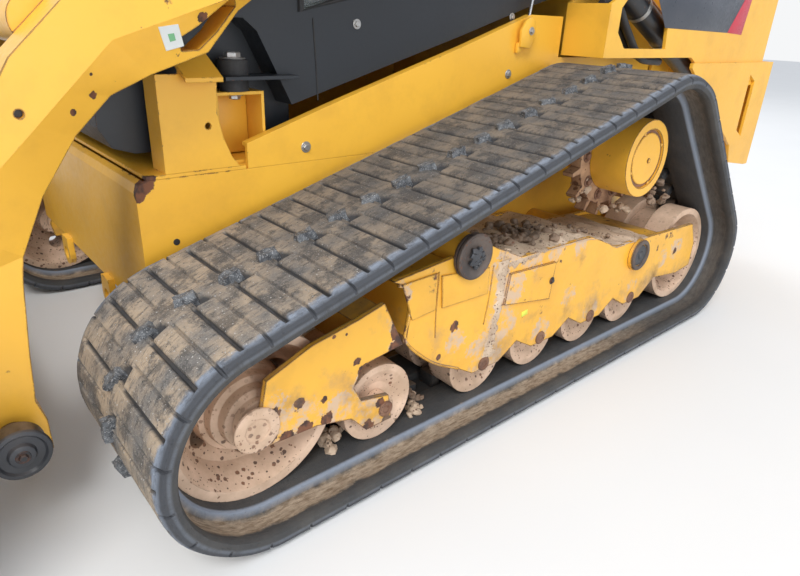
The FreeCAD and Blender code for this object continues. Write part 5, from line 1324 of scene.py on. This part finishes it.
def eight_corners(low, high):
    """A block between a low and a high rectangle, each given as (half width, front, back, height)."""
    bm = bmesh.new()
    rings = []
    for half, front, rear, z in (low, high):
        rings.append([bm.verts.new(spot) for spot in ((-half, front, z), (half, front, z), (half, rear, z),
                                                      (-half, rear, z))])
    bm.faces.new(rings[0][::-1])
    bm.faces.new(rings[1])
    for k in range(4):
        bm.faces.new((rings[0][k - 1], rings[0][k], rings[1][k], rings[1][k - 1]))
    return bm


def evaluated(item):
    graph = bpy.context.evaluated_depsgraph_get()
    return bpy.data.meshes.new_from_object(item.evaluated_get(graph), depsgraph=graph)


def cushion(name, low, high, channels, cap=0.014):
    """A cushion from a block. Channels give the axis across each seam, its place, and the side that it is on."""
    bm = eight_corners(low, high)
    bmesh.ops.bevel(bm, geom=bm.edges[:], offset=0.026, segments=3, profile=0.5, affect="EDGES", material=-1)
    item = finished(bm, name, seat_cloth, "chassis")
    grid = item.modifiers.new("even_faces", "REMESH")
    grid.mode = "VOXEL"
    grid.voxel_size = 0.0065
    item.data = evaluated(item)
    item.modifiers.clear()
    start = [v.co.copy() for v in item.data.vertices]
    cloth = item.modifiers.new("cloth", "CLOTH")
    cloth.settings.use_pressure = True
    cloth.settings.uniform_pressure_force = 4.0
    cloth.settings.effector_weights.gravity = 0.0
    cloth.point_cache.frame_start = 1
    cloth.point_cache.frame_end = 20
    for frame_number in range(1, 21):
        bpy.context.scene.frame_set(frame_number)
    blown = [v.co.copy() for v in evaluated(item).vertices]
    item.modifiers.clear()
    bpy.context.scene.frame_set(1)
    for vertex, old, new in zip(item.data.vertices, start, blown):
        move = new - old
        vertex.co = old + move * min(1.0, cap / max(move.length, 0.00001))
    item.data.update()
    sunk = []
    for vertex in item.data.vertices:
        depth = 0.0
        for axis, place, facing in channels:
            if vertex.normal.dot(Vector(facing)) > 0.35:
                depth += 0.0055 * math.exp(-((vertex.co[axis] - place) / 0.007) ** 2)
        sunk.append(vertex.co - vertex.normal * min(depth, 0.007))
    for vertex, spot in zip(item.data.vertices, sunk):
        vertex.co = spot
    item.data.shade_smooth()
    item.modifiers.new("fine", "SUBSURF").levels = 1
    print(name, len(item.data.polygons), "faces before one subdivision")
    return item


UP = (0, 0, 1)
base_channels = [(0, -0.130, UP), (0, 0.130, UP)] + [(1, 0.150 + 0.075 * k, UP) for k in range(4)]
back_channels = [(0, -0.120, FORWARD), (0, 0.120, FORWARD)] + [(2, 1.270 + 0.095 * k,
                                                                FORWARD) for k in range(5)]
seat_base = cushion("seat_cushion", (0.205, 0.080, 0.400, 1.070), (0.205, 0.078, 0.400, 1.146), base_channels)
seat_back = cushion("seat_backrest", (0.195, 0.440, 0.512, 1.170), (0.170, 0.494, 0.524, 1.715),
                    back_channels)
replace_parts(seat_base, "seat")
bm = bmesh.new()
frame_box = eight_corners((0.195, 0.090, 0.430, 0.985), (0.210, 0.075, 0.430, 1.062))
bmesh.ops.bevel(frame_box, geom=frame_box.edges[:], offset=0.012, segments=2, profile=0.5, affect="EDGES",
                material=-1)
stamp(bm, taken(frame_box), Matrix())
back_shell = eight_corners((0.190, 0.526, 0.548, 1.000), (0.160, 0.538, 0.550, 1.690))
bmesh.ops.bevel(back_shell, geom=back_shell.edges[:], offset=0.005, segments=2, profile=0.5, affect="EDGES",
                material=-1)
stamp(bm, taken(back_shell), Matrix())
stamp(bm, block((0.400, 0.110, 0.050), 0.008), Matrix.Translation((0.0, 0.480, 1.020)))
finished(bm, "seat_frame", moulded, "chassis")

# %% [markdown]
# The stage is a plain pale floor under an even sky, with one wide lamp for a soft direction. The sky that
# the camera sees is a plain near-white, and it doesn't light the machine any more than the lamps do.

# %% Floor and light
bpy.ops.mesh.primitive_plane_add(size=60, location=(0, 0, 0))
floor = bpy.context.object
floor.name = "floor"
floor_finish, tree, shader, place = blank("floor_finish", Roughness=0.9)
tree.links.new(blend_colour(tree, cloud(tree, place, 1.5, 2.0), colour(0.74, 0.74, 0.73),
                            colour(0.78, 0.78, 0.77)),
               shader.inputs["Base Color"])
floor.data.materials.append(floor_finish)
world = bpy.data.worlds.new("studio")
world.use_nodes = True
tree = world.node_tree
tree.nodes.clear()
path = add(tree, "ShaderNodeLightPath")
seen = maths(tree, "MAXIMUM", path.outputs["Is Camera Ray"], path.outputs["Is Transmission Ray"])
sky = add(tree, "ShaderNodeBackground", {"Color": colour(0.84, 0.88, 0.95), "Strength": 0.95})
backdrop = add(tree, "ShaderNodeBackground", {"Color": colour(0.92, 0.93, 0.94), "Strength": 1.0})
choice = add(tree, "ShaderNodeMixShader", {0: seen, 1: sky.outputs[0], 2: backdrop.outputs[0]})
end = tree.nodes.new("ShaderNodeOutputWorld")
tree.links.new(choice.outputs[0], end.inputs["Surface"])
bpy.context.scene.world = world


def wide_lamp(name, place, target, size, power):
    data = bpy.data.lights.new(name, "AREA")
    data.shape = "DISK"
    data.size = size
    data.energy = power
    item = bpy.data.objects.new(name, data)
    bpy.context.scene.collection.objects.link(item)
    item.location = place
    item.rotation_euler = (Vector(target) - Vector(place)).to_track_quat("-Z", "Y").to_euler()


wide_lamp("key_lamp", (5.0, -5.5, 7.5), (0, 0, 0.6), 4.5, 720)
wide_lamp("fill_lamp", (-5.5, 5.5, 6.0), (0, 0, 0.8), 5.0, 260)
wide_lamp("side_lamp", (7.5, -1.0, 1.6), (0.9, 0.0, 0.4), 3.5, 110)
